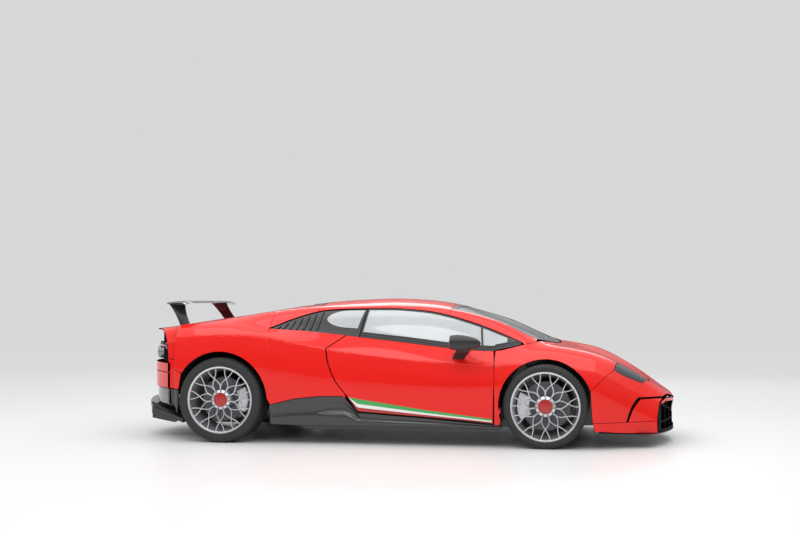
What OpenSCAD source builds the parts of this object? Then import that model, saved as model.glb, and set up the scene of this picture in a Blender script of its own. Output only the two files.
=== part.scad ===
// Mid-engined two-seat supercar: carbon tub, bolted-on panels, two doors,
// a front lid, an engine cover, steered front wheels and four turning wheels.
// Origin on the ground under the middle of the car, +X forward, +Y left, +Z up.

/* [Overall size] */
// Distance between the front and rear axles
wheelbase = 2620; // [2180:10:3150]
// Front axle to the nose
front_overhang = 1010; // [900:10:1220]
// Rear axle to the tail
rear_overhang = 876; // [760:10:1060]
// Width of the body without its mirrors
body_w = 1924; // [1600:2:2310]
// Height of the roof above the ground
body_h = 1165; // [1120:5:1400]

/* [Wheels] */
// Front tyre diameter
front_tyre_d = 655; // [600:1:690]
// Front tyre width
front_tyre_w = 245; // [200:1:295]
// Rear tyre diameter
rear_tyre_d = 691; // [640:1:740]
// Rear tyre width
rear_tyre_w = 305; // [250:1:366]
// Diameter of the rims where the tyres seat
rim_seat_d = 508; // [430:1:560]
// Space between a tyre and the body side, measured across the car
tyre_inset = 6; // [2:1:30]
// Space between a front tyre and its wheel arch
front_arch_gap = 38; // [34:1:60]
// Space between a rear tyre and its wheel arch
rear_arch_gap = 44; // [30:1:60]
// Front brake disc diameter
front_disc_d = 380; // [320:1:400]
// Rear brake disc diameter
rear_disc_d = 356; // [300:1:400]
// Diameter of the spindles that the wheels turn on
spindle_d = 60; // [45:1:76]
// Number of forked spokes on a rim
spoke_count = 11; // [7:1:13]

/* [Panels] */
// Thickness of a door
door_t = 85; // [50:1:102]
// Thickness of the fixed outer panels
panel_t = 10; // [6:1:14]
// Thickness of the two lids
lid_t = 22; // [14:1:28]
// Thickness of the glass
glass_t = 5; // [4:0.5:7]
// Gap round each door and lid
shut_gap = 6; // [5:0.5:9]
// Gap at the front edge of a door, where its hinge plates stand
hinge_gap = 12; // [12:0.5:16]

/* [Cabin] */
// Width of a seat
seat_w = 500; // [400:5:560]
// Steering wheel diameter
steering_d = 360; // [300:5:420]

/* [Hidden] */

// ---- styling frame: lines are drawn for a car of these sizes, then stretched
draw_half_base = 1310;
draw_front = 1010;
draw_rear = 876;
draw_w = 1924;
draw_h = 1165;
mid_shift = (front_overhang - rear_overhang) / 2;
front_x = wheelbase / 2 - mid_shift;
rear_x = -wheelbase / 2 - mid_shift;

function X(x) = x > draw_half_base ? front_x + (x - draw_half_base) * front_overhang / draw_front
    : x < -draw_half_base ? rear_x + (x + draw_half_base) * rear_overhang / draw_rear
    : x * wheelbase / (2 * draw_half_base) - mid_shift;
function Y(y) = y * body_w / draw_w;
function Z(z) = z * body_h / draw_h;
// the same ways back, for what is placed by its real size
function draw_x(x) = x > front_x ? draw_half_base + (x - front_x) * draw_front / front_overhang
    : x < rear_x ? -draw_half_base + (x - rear_x) * draw_rear / rear_overhang
    : (x + mid_shift) * 2 * draw_half_base / wheelbase;
function draw_z(z) = z * draw_h / body_h;

// ---- styling lines: [half width, height] at each station, tail to nose
STATIONS = [-2120, -1900, -1600, -1310, -1000, -650, -300, 100, 500, 900, 1310, 1650, 1950, 2150, 2320];
sill_line = [[800, 225], [860, 205], [915, 190], [925, 170], [915, 155], [905, 150], [900, 150],
    [900, 150], [900, 150], [908, 148], [918, 145], [912, 140], [850, 128], [760, 118], [640, 112]];
skirt_line = [[815, 400], [878, 385], [935, 372], [950, 362], [938, 350], [928, 335], [920, 320],
    [915, 292], [915, 272], [922, 262], [942, 272], [932, 268], [866, 240], [772, 215], [645, 190]];
side_line = [[820, 600], [885, 610], [945, 615], [962, 630], [955, 600], [936, 560], [926, 520],
    [922, 486], [924, 470], [936, 474], [957, 500], [940, 470], [866, 400], [768, 335], [632, 270]];
shoulder_line = [[790, 800], [850, 830], [910, 858], [938, 872], [930, 868], [916, 800], [906, 738],
    [904, 692], [904, 662], [914, 650], [944, 655], [918, 606], [828, 522], [728, 444], [598, 352]];
crown_line = [[690, 905], [735, 925], [785, 948], [812, 960], [812, 938], [818, 906], [826, 872],
    [830, 828], [828, 782], [816, 755], [790, 778], [742, 733], [664, 634], [580, 538], [470, 402]];
rail_line = [[420, 912], [500, 935], [568, 968], [598, 1004], [616, 1050], [628, 1086], [634, 1098],
    [634, 1100], [626, 1074], [612, 985], [560, 818], [430, 736], [372, 614], [318, 492], [250, 380]];
centre_line = [[0, 905], [0, 932], [0, 985], [0, 1024], [0, 1068], [0, 1128], [0, 1157],
    [0, 1165], [0, 1120], [0, 985], [0, 820], [0, 720], [0, 586], [0, 464], [0, 352]];
LINES = [sill_line, skirt_line, side_line, shoulder_line, crown_line, rail_line, centre_line];
centre = 6;                    // place of the centreline among the lines
nose_bow = 340;                // how far the nose falls back at the body's full width
tail_bow = 450;                // the same at the tail
bow_start = 1650;              // station where the ends begin to bow

function ease(v) = let (c = min(max(v, 0), 1)) c * c * (3 - 2 * c);
function span_of(s, i = 0) = (i >= len(STATIONS) - 2 || s < STATIONS[i + 1]) ? i : span_of(s, i + 1);
function slope(line, i) = let (a = max(i - 1, 0), b = min(i + 1, len(line) - 1))
    (line[b] - line[a]) / (STATIONS[b] - STATIONS[a]);
function hermite(p, q, m, n, u) = p * (1 + 2 * u) * (1 - u) * (1 - u) + m * u * (1 - u) * (1 - u)
    + q * u * u * (3 - 2 * u) + n * u * u * (u - 1);
function line_at(line, s) = let (i = span_of(s), h = STATIONS[i + 1] - STATIONS[i])
    hermite(line[i], line[i + 1], slope(line, i) * h, slope(line, i + 1) * h, (s - STATIONS[i]) / h);
function section(s) = [for (line = LINES) line_at(line, s)];

// how sharp the section is at a line, 0 rounded to 1 folded
function crease(j, s) = j == 3 ? 0.55
    : j == 4 ? 0.9 * ease((s + 1050) / 200) * ease((1240 - s) / 200)
    : j == 5 ? 0.35 : 0;
function tangent(sec, s, j, ahead) = j == 0 ? sec[1] - sec[0]
    : j == centre ? [-sec[centre - 1].x, 0]
    : let (soft = (sec[j + 1] - sec[j - 1]) / 2, hard = ahead ? sec[j + 1] - sec[j] : sec[j] - sec[j - 1],
        w = crease(j, s)) soft * (1 - w) + hard * w;
function section_point(sec, s, t) = let (j = min(floor(t), centre - 1))
    hermite(sec[j], sec[j + 1], tangent(sec, s, j, true), tangent(sec, s, j + 1, false), t - j);
function bow(s, y) = (tail_bow * ease((-bow_start - s) / 470) - nose_bow * ease((s - bow_start) / 670))
    * pow(2 * y / draw_w, 2);
// a point of the outer skin: station s, line t, with t past the centreline on the right side
function skin(s, t) = let (side = t <= centre ? 1 : -1,
        p = section_point(section(s), s, t <= centre ? t : 2 * centre - t))
    [X(s + bow(s, p.x)), side * Y(p.x), Z(p.y)];
function unit(v) = v / norm(v);
function skin_normal(s, t) = let (t1 = t > centre - 0.02 && t < centre ? t - 0.02 : t)
    unit(cross(skin(s, t1 + 0.02) - skin(s, t1), skin(s + 4, t) - skin(s - 4, t)));
// the line value at which the side of the body has height z
function line_of(s, z, lo = 0, hi = 5, n = 12) = n == 0 ? (lo + hi) / 2
    : let (m = (lo + hi) / 2) section_point(section(s), s, m).y < z ? line_of(s, z, m, hi, n - 1)
    : line_of(s, z, lo, m, n - 1);
function on_side(points) = [for (p = points) [p.x, line_of(p.x, p.y)]];

// closed solid between two grids of points, each with `rows` + 1 points a column
module slab(outer, inner, columns, rows) {
    n = rows + 1;
    count = columns * n;
    function quad(a, b, c, d) = [[a, b, c], [a, c, d]];
    faces = [
        for (i = [0:columns - 2], j = [0:rows - 1]) let (a = i * n + j)
            each concat(quad(a, a + 1, a + n + 1, a + n),
                quad(count + a, count + a + n, count + a + n + 1, count + a + 1)),
        for (i = [0:columns - 2]) let (a = i * n, b = i * n + rows)
            each concat(quad(a, a + n, count + a + n, count + a),
                quad(b + n, b, count + b, count + b + n)),
        for (j = [0:rows - 1]) let (a = j, b = (columns - 1) * n + j)
            each concat(quad(a + 1, a, count + a, count + a + 1),
                quad(b, b + 1, count + b + 1, count + b))];
    polyhedron(points = concat(outer, inner), faces = [for (f = faces) [f[0], f[2], f[1]]]);
}

// body panel between two lists of [station, line], bulged forward in its middle by `bulges`
module panel(lower, upper, rows, thick, bulges = 0, peak = 0) {
    columns = len(lower);
    grid = [for (i = [0:columns - 1], j = [0:rows]) let (v = j / rows,
        lift = is_list(bulges) ? bulges[i] : bulges,
        share = peak == 0 ? 4 * v * (1 - v) : min(v / peak, (1 - v) / (1 - peak)))
        lower[i] * (1 - v) + upper[i] * v + [lift * share, 0]];
    outer = [for (g = grid) skin(g.x, g.y)];
    slab(outer, [for (k = [0:len(grid) - 1]) outer[k] - thick * skin_normal(grid[k].x, grid[k].y)],
        columns, rows);
}
module both_sides() { children(); mirror([0, 1, 0]) children(); }
// evenly spaced values
function steps(a, b, n) = [for (i = [0:n]) a + (b - a) * i / n];
// broken line looked up at station s
function follow(points, s, i = 0) = (i >= len(points) - 2 || s < points[i + 1].x)
    ? points[i].y + (points[i + 1].y - points[i].y) * (s - points[i].x) / (points[i + 1].x - points[i].x)
    : follow(points, s, i + 1);

// ---- edges that neighbouring panels share, as [station, height] drawn on the side
seam = 0.4;                    // space between fixed panels
glass_top = on_side([[-935, 926], [-720, 1012], [-503, 1070], [-129, 1086], [153, 1084], [438, 1052],
    [763, 962], [1027, 858], [1131, 812]]);
belt = on_side([[-935, 922], [-650, 905], [-386, 880], [-196, 860], [178, 818], [548, 775], [880, 752],
    [980, 766], [1131, 803], [1236, 824]]);
skirt_top = on_side([[-905, 308], [-686, 362], [-480, 383], [-290, 386], [-178, 258], [323, 224],
    [884, 178], [960, 176]]);
lid_side = [[1236, 4.62], [1310, 4.5], [1850, 4.4], [2320, 4.4]];
screen_side = [[530, 5.1], [900, 5.06], [1230, 4.86]];
bumper_top = on_side([[1653, 451], [1730, 507], [1815, 560], [1905, 608]]);
lamp_low = on_side([[1905, 608], [1970, 580], [2040, 554], [2110, 528], [2185, 497]]);
door_front = 900;              // station of a door's front edge
door_rear_low = -262;          // its rear edge, at the bottom and the top
door_rear_top = -290;
door_kink = -157;              // how far that edge runs back between them
kink_share = 5 / 8;            // and how high up it does
pane_rear_low = -182;          // rear edge of the side window, at the bottom and the top
pane_rear_top = -138;
roof_front = 530;
roof_rear = -560;
cover_rear = -1380;            // rear edge of the engine cover
cover_side = 5.3;              // line that its side follows
lid_front = 2120;
screen_bulge = 150;            // how far the foot of the windscreen runs forward in its middle
line_gap = 0.026;              // shut gap, in lines, across the lids
fender_start = door_front + hinge_gap;

function on_line(points, list, d = 0) = [for (s = list) [s, follow(points, s) + d]];
function arch(axle, tyre_d, gap, angles) = [for (a = angles)
    let (r = tyre_d / 2 + gap, s = draw_x(axle + r * cos(a))) [s, line_of(s, draw_z(tyre_d / 2 + r * sin(a)))]];

module side_skirts() color("#15161a") both_sides() {
    foot = [-900, -690, -480, -290, -178, 60, 323, 600, fender_start, 985];
    head = [-905, -690, -480, -290, -178, 60, 323, 600, fender_start, 952];
    panel([for (s = foot) [s, 0]], on_line(skirt_top, head), 2, 60);
}
module front_fenders() color("#d01408") both_sides() {
    low = concat([[fender_start, follow(skirt_top, fender_start) + 0.01]],
        arch(front_x, front_tyre_d, front_arch_gap, steps(196, 20, 12)),
        on_line(bumper_top, [1730, 1815, 1905], 0.007));
    tops = concat([fender_start], steps(935, 1236, 5), steps(1310, 1905, 9));
    high = [for (s = tops) [s, s < 1237 ? follow(belt, s) - 0.02 : follow(lid_side, s)]];
    panel(low, high, 6, panel_t);
}
module rear_quarters() color("#d01408") both_sides() {
    low = concat([[door_rear_low - shut_gap - 8, follow(door_low, door_rear_low)]],
        on_line(skirt_top, [-290, -480, -690, -890], 0.012),
        arch(rear_x, rear_tyre_d, rear_arch_gap, steps(2, 146, 9)),
        on_side([[-1750, 590], [-1880, 625], [-2000, 652], [-2119, 675]]));
    tops = concat([door_rear_top - shut_gap - 6, -400, -520, -740, -931], steps(-934, -1560, 9),
        [-1700, -1840, -1980, -2119]);
    high = [for (s = tops) [s, s > -940 ? follow(belt, s) - 0.004 : cover_side - line_gap]];
    kinks = [for (i = [1:len(low)]) let (k = len(low) - i) door_kink * (k > 3 ? 0 : [1, 0.9, 0.35, 0.1][k])];
    panel(reverse(low), reverse(high), 8, panel_t, kinks, kink_share);
}
function reverse(list) = [for (i = [len(list) - 1:-1:0]) list[i]];

module roof() color("#d01408") {
    across = on_line(glass_top, steps(roof_rear + hinge_gap / 2, roof_front, 8));
    panel(across, [for (p = across) [p.x, 2 * centre - p.y]], 12, panel_t * 2);
    both_sides() {
        rail = steps(-930, roof_rear + hinge_gap / 2 - seam, 4);
        panel(on_line(glass_top, rail), [for (s = rail) [s, cover_side - line_gap]], 2, panel_t * 2);
        post = steps(roof_front + seam, 1228, 7);
        panel([for (s = post) [s, s < 1131 ? follow(glass_top, s) : follow(belt, s)]],
            on_line(screen_side, post, -0.002), 2, panel_t * 2);
    }
}
module windscreen() color("#7f8c92") {
    edge = on_line(screen_side, steps(roof_front + 2, 1228, 7));
    panel(edge, [for (p = edge) [p.x, 2 * centre - p.y]], 10, glass_t,
        [for (f = steps(0, 1, 7)) screen_bulge * f * f]);
}
module quarter_glass() color("#7f8c92") both_sides() {
    head = concat([-918, -780, -660], [for (i = [0:2]) steps(roof_rear + hinge_gap / 2, roof_front, 8)[i]],
        [pane_rear_top - shut_gap]);
    panel(on_line(belt, steps(-918, pane_rear_low - shut_gap, 6)), on_line(glass_top, head, -0.014), 2, glass_t);
}
module rear_deck() color("#d01408") {
    deck = steps(-2119, cover_rear - shut_gap, 7);
    panel([for (s = deck) [s, cover_side - line_gap + 0.0035]],
        [for (s = deck) [s, 2 * centre - cover_side + line_gap - 0.0035]], 8, panel_t);
}
module front_bumper() color("#d01408") {
    behind = [1656, 1730, 1815];
    under = [1907, 1970, 2040, 2110, 2185];
    ahead = [2186, 2220, 2260, 2319];
    stations = concat(behind, under, ahead);
    both_sides() panel([for (s = stations) [s < 1660 ? 1686 : s, 0]],
        concat(on_line(bumper_top, behind), on_line(lamp_low, under), on_line(lid_side, ahead, -0.002)), 5, panel_t);
    band = steps(lid_front + shut_gap, 2319, 4);
    panel(on_line(lid_side, band, 0.002), [for (s = band) [s, 2 * centre - follow(lid_side, s) - 0.002]],
        10, panel_t);
}
module headlights() color("#20242a") both_sides() {
    lamp = [1920, 1970, 2040, 2110, 2180];
    panel(on_line(lamp_low, lamp, 0.008), on_line(lid_side, lamp, -0.003), 4, 30);
}

// ---- nose and tail faces, drawn over [half width, height]
function nose_point(y, z, back) = [X(2320 - nose_bow * pow(2 * y / draw_w, 2) - back), Y(y), Z(z)];
function tail_point(y, z, ahead) = [X(-2120 + tail_bow * pow(2 * y / draw_w, 2) + ahead), Y(y), Z(z)];
// end panel from a list of [y, low z, high z], between two depths behind the outer face
module fascia(columns, rows, near, far, nose) {
    grid = [for (c = columns, j = [0:rows]) [c.x, c.y + (c.z - c.y) * j / rows]];
    slab([for (g = grid) nose ? nose_point(g.x, g.y, near) : tail_point(g.x, g.y, near)],
        [for (g = grid) nose ? nose_point(g.x, g.y, far) : tail_point(g.x, g.y, far)],
        len(columns), rows);
}
// columns under the edge of the section at station s, from line a to line b, down to `low`
function under_section(s, a, b, n, low, inset) = let (sec = section(s)) [for (t = steps(a, b, n))
    let (p = section_point(sec, s, t <= centre ? t : 2 * centre - t))
    [(t <= centre ? 1 : -1) * (p.x - inset), low, p.y - inset]];

module grilles() color("#101114") {
    difference() {
        fascia(under_section(2319, 3.2, 8.8, 14, 128, panel_t + 4), 2, 40, 55, true);
        block([beam_x[1], beam_x[1] + 300], [-tow_eye_y - tow_eye_d * 0.85, -tow_eye_y + tow_eye_d * 0.85],
            [0, Z(600)]);
    }
    difference() {
        fascia(under_section(-2119, 9.1, 2.9, 14, 640, panel_t + 4), 2, 50, 65, false);
        both_sides() tail_pipe() translate([0, 0, -40]) cylinder(d = tail_pipe_d + 6, h = 240, $fn = 48);
    }
}
module rear_bumper() color("#d01408") {
    both_sides() {
        stations = [-2119, -2000, -1880, -1750, -1655];
        panel([for (s = stations) [s == -1655 ? -1690 : s, s < -1700 ? 0.45 : 0.1]],
            on_side([[-2119, 672], [-2000, 649], [-1880, 621], [-1750, 578], [-1640, 543]]), 5, panel_t);
    }
    fascia([for (y = steps(-800, 800, 12)) [y, 420, 636]], 3, -14, 10, false);
}
module tail_lights() color("#7a0d0a") both_sides()
    fascia([for (y = steps(430, 730, 4)) [y, 745, 800]], 1, 18, 48.6, false);

// ---- plain blocks and bars
module block(x, y, z) translate([x[0], y[0], z[0]]) cube([x[1] - x[0], y[1] - y[0], z[1] - z[0]]);
// outline drawn over [x, z], extruded across the car between two y values
module across(points, y0, y1) translate([0, y1, 0]) rotate([90, 0, 0]) linear_extrude(y1 - y0) polygon(points);
// outline drawn over [x, y], extruded upwards between two z values
module upwards(points, z0, z1) translate([0, 0, z0]) linear_extrude(z1 - z0) polygon(points);

module front_splitter() color("#15161a") {
    lip = [for (y = steps(-760, 760, 16)) [X(2318 - nose_bow * pow(2 * y / draw_w, 2)), Y(y)]];
    upwards(concat(lip, [[X(1700), Y(760)], [X(1700), -Y(760)]]), Z(96), Z(111.5));
}
module rear_diffuser() color("#15161a") {
    intersection() {
        across([[X(-1760) - seam, floor_low], [X(-2190), 290], [X(-2190), 312], [X(-1760) - seam, floor_top]],
            -Y(560), Y(560));
        tail_plan(560, 66);
    }
    for (y = [-540, -330, -115, 103, 318, 528]) intersection() {
        across([[X(-1800), 136], [X(-1840), 118], [X(-2170), 180], [X(-2170), 290]], Y(y), Y(y) + 12);
        tail_plan(560, 60);
    }
}
// everything ahead of the tail's plan curve, let out by `out`
module tail_plan(half, out) upwards(concat([for (y = steps(-half, half, 16))
        [X(-2120 - out + tail_bow * pow(2 * y / draw_w, 2)), Y(y)]],
    [[X(-1600), Y(half)], [X(-1600), -Y(half)]]), 0, 600);

// ---- tub, machinery and cabin
floor_low = 118;
floor_top = 150;
tub_half = Y(500);             // half width of the tub between the front wheels
rail_half = Y(440);            // the same between the rear wheels
seat_y = Y(372);
sill_half = Y(918) - door_t - 13;
sill_in = seat_y + seat_w / 2 + 43;
tunnel_half = seat_y - seat_w / 2 - 22;
bulkhead_x = [X(door_front) + 6, X(door_front) + 26];
luggage_x = [X(950), X(1690)];
luggage_half = tub_half - 20;
tow_eye_d = 20;
tow_eye_depth = 60;
tow_eye_y = Y(380);
tow_eye_z = Z(272);
beam_x = [X(2070), X(2150)];
rear_beam_x = [X(-1990), X(-1950)];
rail_z = [Z(252), Z(312)];
jack_z = 112;
jack_x = [X(-540), X(720)];

module body_tub() color("#1b1c20") {
    difference() {
        union() {
            block([X(-640), bulkhead_x[1]], [-sill_half, sill_half], [floor_low, floor_top]);
            both_sides() {
                block([X(-640), bulkhead_x[0]], [sill_in, sill_half], [floor_top, Z(325)]);
                block([X(-640), X(-560)], [sill_in, sill_half - 20], [floor_top, Z(760)]);
                for (x = jack_x) block([x - 50, x + 50], [sill_half - 120, sill_half - 20], [jack_z, floor_low]);
                block([rear_beam_x[0], X(-640)], [rail_half - 60, rail_half], rail_z);
                block([rear_x - 130, rear_x - 50], [rail_half - 60, rail_half], [floor_low, rear_z + 120]);
                block([luggage_x[1], beam_x[0]], [Y(330), Y(390)], [Z(240), Z(310)]);
            }
            block([X(-640), X(-610)], [30 - sill_half, sill_half - 30], [floor_top, Z(845)]);
            block([X(-640), bulkhead_x[0]], [-tunnel_half, tunnel_half], [floor_top, Z(330)]);
            block([bulkhead_x[0], bulkhead_x[1]], [-sill_half, sill_half], [floor_low, Z(690)]);
            block([X(-1760), X(-640)], [-rail_half, rail_half], [floor_low, floor_top]);
            across([[bulkhead_x[1], floor_low], [luggage_x[1] + 20, 150], [luggage_x[1] + 20, Z(640)],
                [front_x + 60, Z(735)], [bulkhead_x[1], Z(735)]], -tub_half, tub_half);
            block(beam_x, [-Y(430), Y(430)], [Z(225), Z(320)]);
            block(rear_beam_x, [-Y(300), Y(300)], [Z(440), Z(560)]);
            block([beam_x[1], nose_point(0, 0, 55).x - 1.2], [-15, 15], [Z(225), Z(265)]);
            both_sides() {
                block(rear_beam_x, [Y(300), rail_half], [rail_z[0], Z(560)]);
                block([tail_point(140, 0, 10).x + seam, rear_beam_x[0]], [Y(120), Y(140)], [Z(445), Z(480)]);
                block([tail_point(410, 0, 65).x + 1.8, tail_point(410, 0, 65).x + 40],
                    [Y(392), Y(408)], [Z(500), Z(720)]);
                block([beam_x[1], nose_point(418, 0, 55).x - 0.9], [Y(405), Y(420)], [Z(240), Z(265)]);
            }
        }
        block(luggage_x, [-luggage_half, luggage_half], [Z(260), Z(900)]);
        translate([beam_x[1] - tow_eye_depth, -tow_eye_y, tow_eye_z]) rotate([0, 90, 0])
            cylinder(d = tow_eye_d, h = tow_eye_depth + 1, $fn = 32);
    }
    standoffs();
}
// rod from the tub that reaches the inside of a panel
module standoff(s, t, thick, root) {
    n = skin_normal(s, t);
    tip = skin(s, t) - n * (thick + 0.5 + 12);
    both_sides() {
        translate(tip) sphere(r = 12, $fn = 32);
        length = norm(root - tip);
        translate(tip) rotate([0, acos((root - tip).z / length), atan2((root - tip).y, (root - tip).x)])
            cylinder(r = 7, h = length, $fn = 32);
    }
}
module standoffs() {
    standoff(draw_x(front_x - 160), 3.2, panel_t + 0.6, [front_x - 160, tub_half - 5, Z(600)]);
    standoff(1900, 1.2, panel_t + 0.9, [X(1900), Y(370), Z(280)]);
    standoff(-700, 2.6, panel_t + 0.6, [X(-620), sill_half - 40, Z(700)]);
    standoff(-600, 5.2, panel_t * 2 + 0.9, [X(-620), Y(600), Z(830)]);
    standoff(-300, 0.6, 60, [X(-300), sill_half - 40, Z(250)]);
    standoff(latch.x, latch.y, door_t, [X(-600), sill_half - 40, Z(600)]);
    standoff(1600, 4.8, lid_t + 0.8, [X(1600), tub_half - 5, Z(640)]);
    standoff(-950, 5.5, lid_t, [X(-950), rail_half - 12, Z(300)]);
}

engine_x = [X(-1180), X(-700)];
gearbox_end = X(-1720);
module engine() color("#5b5d60") {
    block(engine_x, [-Y(300), Y(300)], [floor_top, Z(640)]);
    block([gearbox_end, engine_x[0]], [-Y(150), Y(150)], [Z(190), Z(480)]);
}
muffler_z = [Z(640), Z(760)];
tail_pipe_d = 110;
tail_pipe_y = Y(115);
module tail_pipe() translate([X(-2135), tail_pipe_y, (muffler_z[0] + muffler_z[1]) / 2])
    rotate([0, 90, 0]) children();
module exhaust() color("#6d6e70") {
    block([X(-1985), X(-1790)], [-Y(320), Y(320)], muffler_z);
    both_sides() {
        tail_pipe() difference() {
            cylinder(d = tail_pipe_d, h = X(-1985) - X(-2135), $fn = 48);
            translate([0, 0, -1]) cylinder(d = tail_pipe_d - 8, h = 100, $fn = 48);
        }
        block([X(-1850), engine_x[0]], [Y(200), Y(250)], [Z(590), Z(630)]);
        block([X(-1850), X(-1800)], [Y(200), Y(250)], [Z(590), muffler_z[0]]);
    }
}

seat_x = X(-80);               // where the cushion meets the backrest
module seats() color("#1d1e21") both_sides() translate([0, seat_y, 0])
    across([[seat_x - 40, floor_top], [seat_x + 330, floor_top], [seat_x + 480, 290], [seat_x + 500, 355],
        [seat_x + 440, 375], [seat_x + 90, 320], [seat_x - 250, 820], [seat_x - 320, 985],
        [seat_x - 390, 970], [seat_x - 350, 790], [seat_x - 90, 250]], -seat_w / 2, seat_w / 2);

dash_x = [X(600), bulkhead_x[0]];
steer_tilt = 24;               // rise of the column towards the driver
steer_at = [X(400), seat_y, Z(700)];
column_r = 14;
column_l = 330;
module steering_frame() translate(steer_at) rotate([0, 90 + steer_tilt, 0]) children();
module dashboard() color("#202125") {
    difference() {
        across([[dash_x[0], Z(520)], [dash_x[1], Z(500)], [dash_x[1], Z(760)], [dash_x[0] + 60, Z(770)],
            [dash_x[0], Z(730)]], -Y(740), Y(740));
        steering_frame() cylinder(r = column_r + 0.3, h = column_l + 8, $fn = 48);
    }
    block([X(120), dash_x[0]], [10 - tunnel_half, tunnel_half - 10], [Z(330), Z(520)]);
}
module steering_wheel() color("#17181b") steering_frame() {
    rotate_extrude($fn = 64) translate([steering_d / 2 - 15, 0]) circle(r = 15, $fn = 32);
    translate([0, 0, -14]) cylinder(r = 62, h = 34, $fn = 48);
    for (a = [90, 180, 270]) rotate([0, 0, a]) translate([40, -14, -6])
        cube([steering_d / 2 - 40 - 16, 28, 12]);
    cylinder(r = column_r, h = column_l, $fn = 48);
}

// ---- wheels
front_y = body_w / 2 - tyre_inset - front_tyre_w / 2;
rear_y = body_w / 2 - tyre_inset - rear_tyre_w / 2;
rim_wall = 14;
rim_flange = 17;               // how far the flange stands above the tyre seat
bead_step = 14;                // from the tyre's widest point in to its bead
spindle_r = spindle_d / 2;
running = 0.1;                 // clearance of a wheel on its spindle
disc_t = 34;
disc_in = 12;                  // inner face of a disc, inside the wheel's middle
caliper_gap = 5;
caliper_t = 24;
hat_out = 30;                  // where the disc's hat meets the wheel hub

// places its children at a wheel: X along the axle, outwards
module at_wheel(x, y, d, side) translate([x, side * y, d / 2]) rotate([0, 0, side * 90]) rotate([0, 90, 0])
    children();
// here Z runs outwards along the axle
module tyre(d, w) rotate_extrude($fn = 96) polygon([
    [rim_seat_d / 2, -w / 2 + bead_step], [rim_seat_d / 2 + 20, -w / 2 + 3], [d / 2 - 34, -w / 2],
    [d / 2 - 9, -w / 2 + 12], [d / 2, -w / 2 + 34], [d / 2, w / 2 - 34], [d / 2 - 9, w / 2 - 12],
    [d / 2 - 34, w / 2], [rim_seat_d / 2 + 20, w / 2 - 3], [rim_seat_d / 2, w / 2 - bead_step]]);
module rim(w) {
    seat = rim_seat_d / 2;
    face = w / 2 - bead_step + 0.2;
    rotate_extrude($fn = 96) {
        translate([seat - rim_wall, -face]) square([rim_wall - 0.2, 2 * face]);
        translate([0, face]) polygon([[seat - rim_wall, 0], [seat - 0.2, 0], [seat + rim_flange, 9.6],
            [seat + rim_flange, 11.8], [seat - rim_wall, 11.8]]);
        translate([0, -face]) polygon([[seat - rim_wall, 0], [seat - 0.2, 0], [seat + rim_flange, -9.6],
            [seat + rim_flange, -11.8], [seat - rim_wall, -11.8]]);
    }
    spoke_low = face - 34;
    for (k = [0:spoke_count - 1], fork = [-1, 1]) rotate([0, 0, 360 * k / spoke_count])
        translate([0, 0, spoke_low]) linear_extrude(30) polygon([[60, -9], [60, 9],
            [118, fork * 4 + 9], [seat - rim_wall - 10, fork * 82 + 8], [seat - rim_wall - 8, fork * 82 - 8],
            [118, fork * 4 - 9]]);
    difference() {
        translate([0, 0, hat_out + 0.3]) cylinder(r = 84, h = spoke_low + 32 - hat_out - 0.3, $fn = 64);
        translate([0, 0, hat_out - 1]) cylinder(r = spindle_r + running, h = spoke_low + 12 - hat_out,
            $fn = 64);
    }
}
module brake_disc(d) difference() {
    union() {
        translate([0, 0, -disc_in]) cylinder(d = d, h = disc_t, $fn = 96);
        cylinder(r = 84, h = hat_out, $fn = 64);
    }
    translate([0, 0, -disc_in - 1]) cylinder(r = spindle_r + running, h = disc_t + hat_out, $fn = 64);
}
// spindle and the caliper on its bracket; `turn` is where the caliper sits round the axle
module hub_carrier(w, disc_d, inner, turn) {
    spindle_end = w / 2 - bead_step - 34;
    translate([0, 0, inner]) cylinder(r = spindle_r, h = spindle_end - inner, $fn = 64);
    near = -disc_in - caliper_gap;
    far = disc_t - disc_in + caliper_gap;
    rotate([0, 0, turn - 28]) rotate_extrude(angle = 56, $fn = 96) {
        translate([130, near - caliper_t]) square([92, caliper_t]);
        translate([disc_d / 2 + caliper_gap, near - caliper_t]) square([26, far - near + 2 * caliper_t]);
        translate([130, far]) square([92, caliper_t]);
    }
    rotate([0, 0, turn]) translate([0, -24, near - caliper_t]) cube([150, 48, caliper_t - 6]);
}

module tyre_front(side) color("#1a1a1b") at_wheel(front_x, front_y, front_tyre_d, side)
    tyre(front_tyre_d, front_tyre_w);
module tyre_rear(side) color("#1a1a1b") at_wheel(rear_x, rear_y, rear_tyre_d, side)
    tyre(rear_tyre_d, rear_tyre_w);
module rim_front(side) color("#b9bcc0") at_wheel(front_x, front_y, front_tyre_d, side) rim(front_tyre_w);
module rim_rear(side) color("#b9bcc0") at_wheel(rear_x, rear_y, rear_tyre_d, side) rim(rear_tyre_w);
module disc_front(side) color("#4c4e52") at_wheel(front_x, front_y, front_tyre_d, side)
    brake_disc(front_disc_d);
module disc_rear(side) color("#4c4e52") at_wheel(rear_x, rear_y, rear_tyre_d, side)
    brake_disc(rear_disc_d);

// ---- knuckles and suspension
kingpin_in = 49;               // from the front wheel's middle in to its steering axis
kingpin_y = front_y - kingpin_in;
kingpin_r = 10;
arm_reach = 115;               // wishbones above and below the axle
arm_t = 24;
arm_spread = 120;              // half spread of a wishbone at the tub
eye_r = 24;
front_z = front_tyre_d / 2;
rear_z = rear_tyre_d / 2;
post_half = arm_reach - arm_t / 2 - 0.4;

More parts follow.
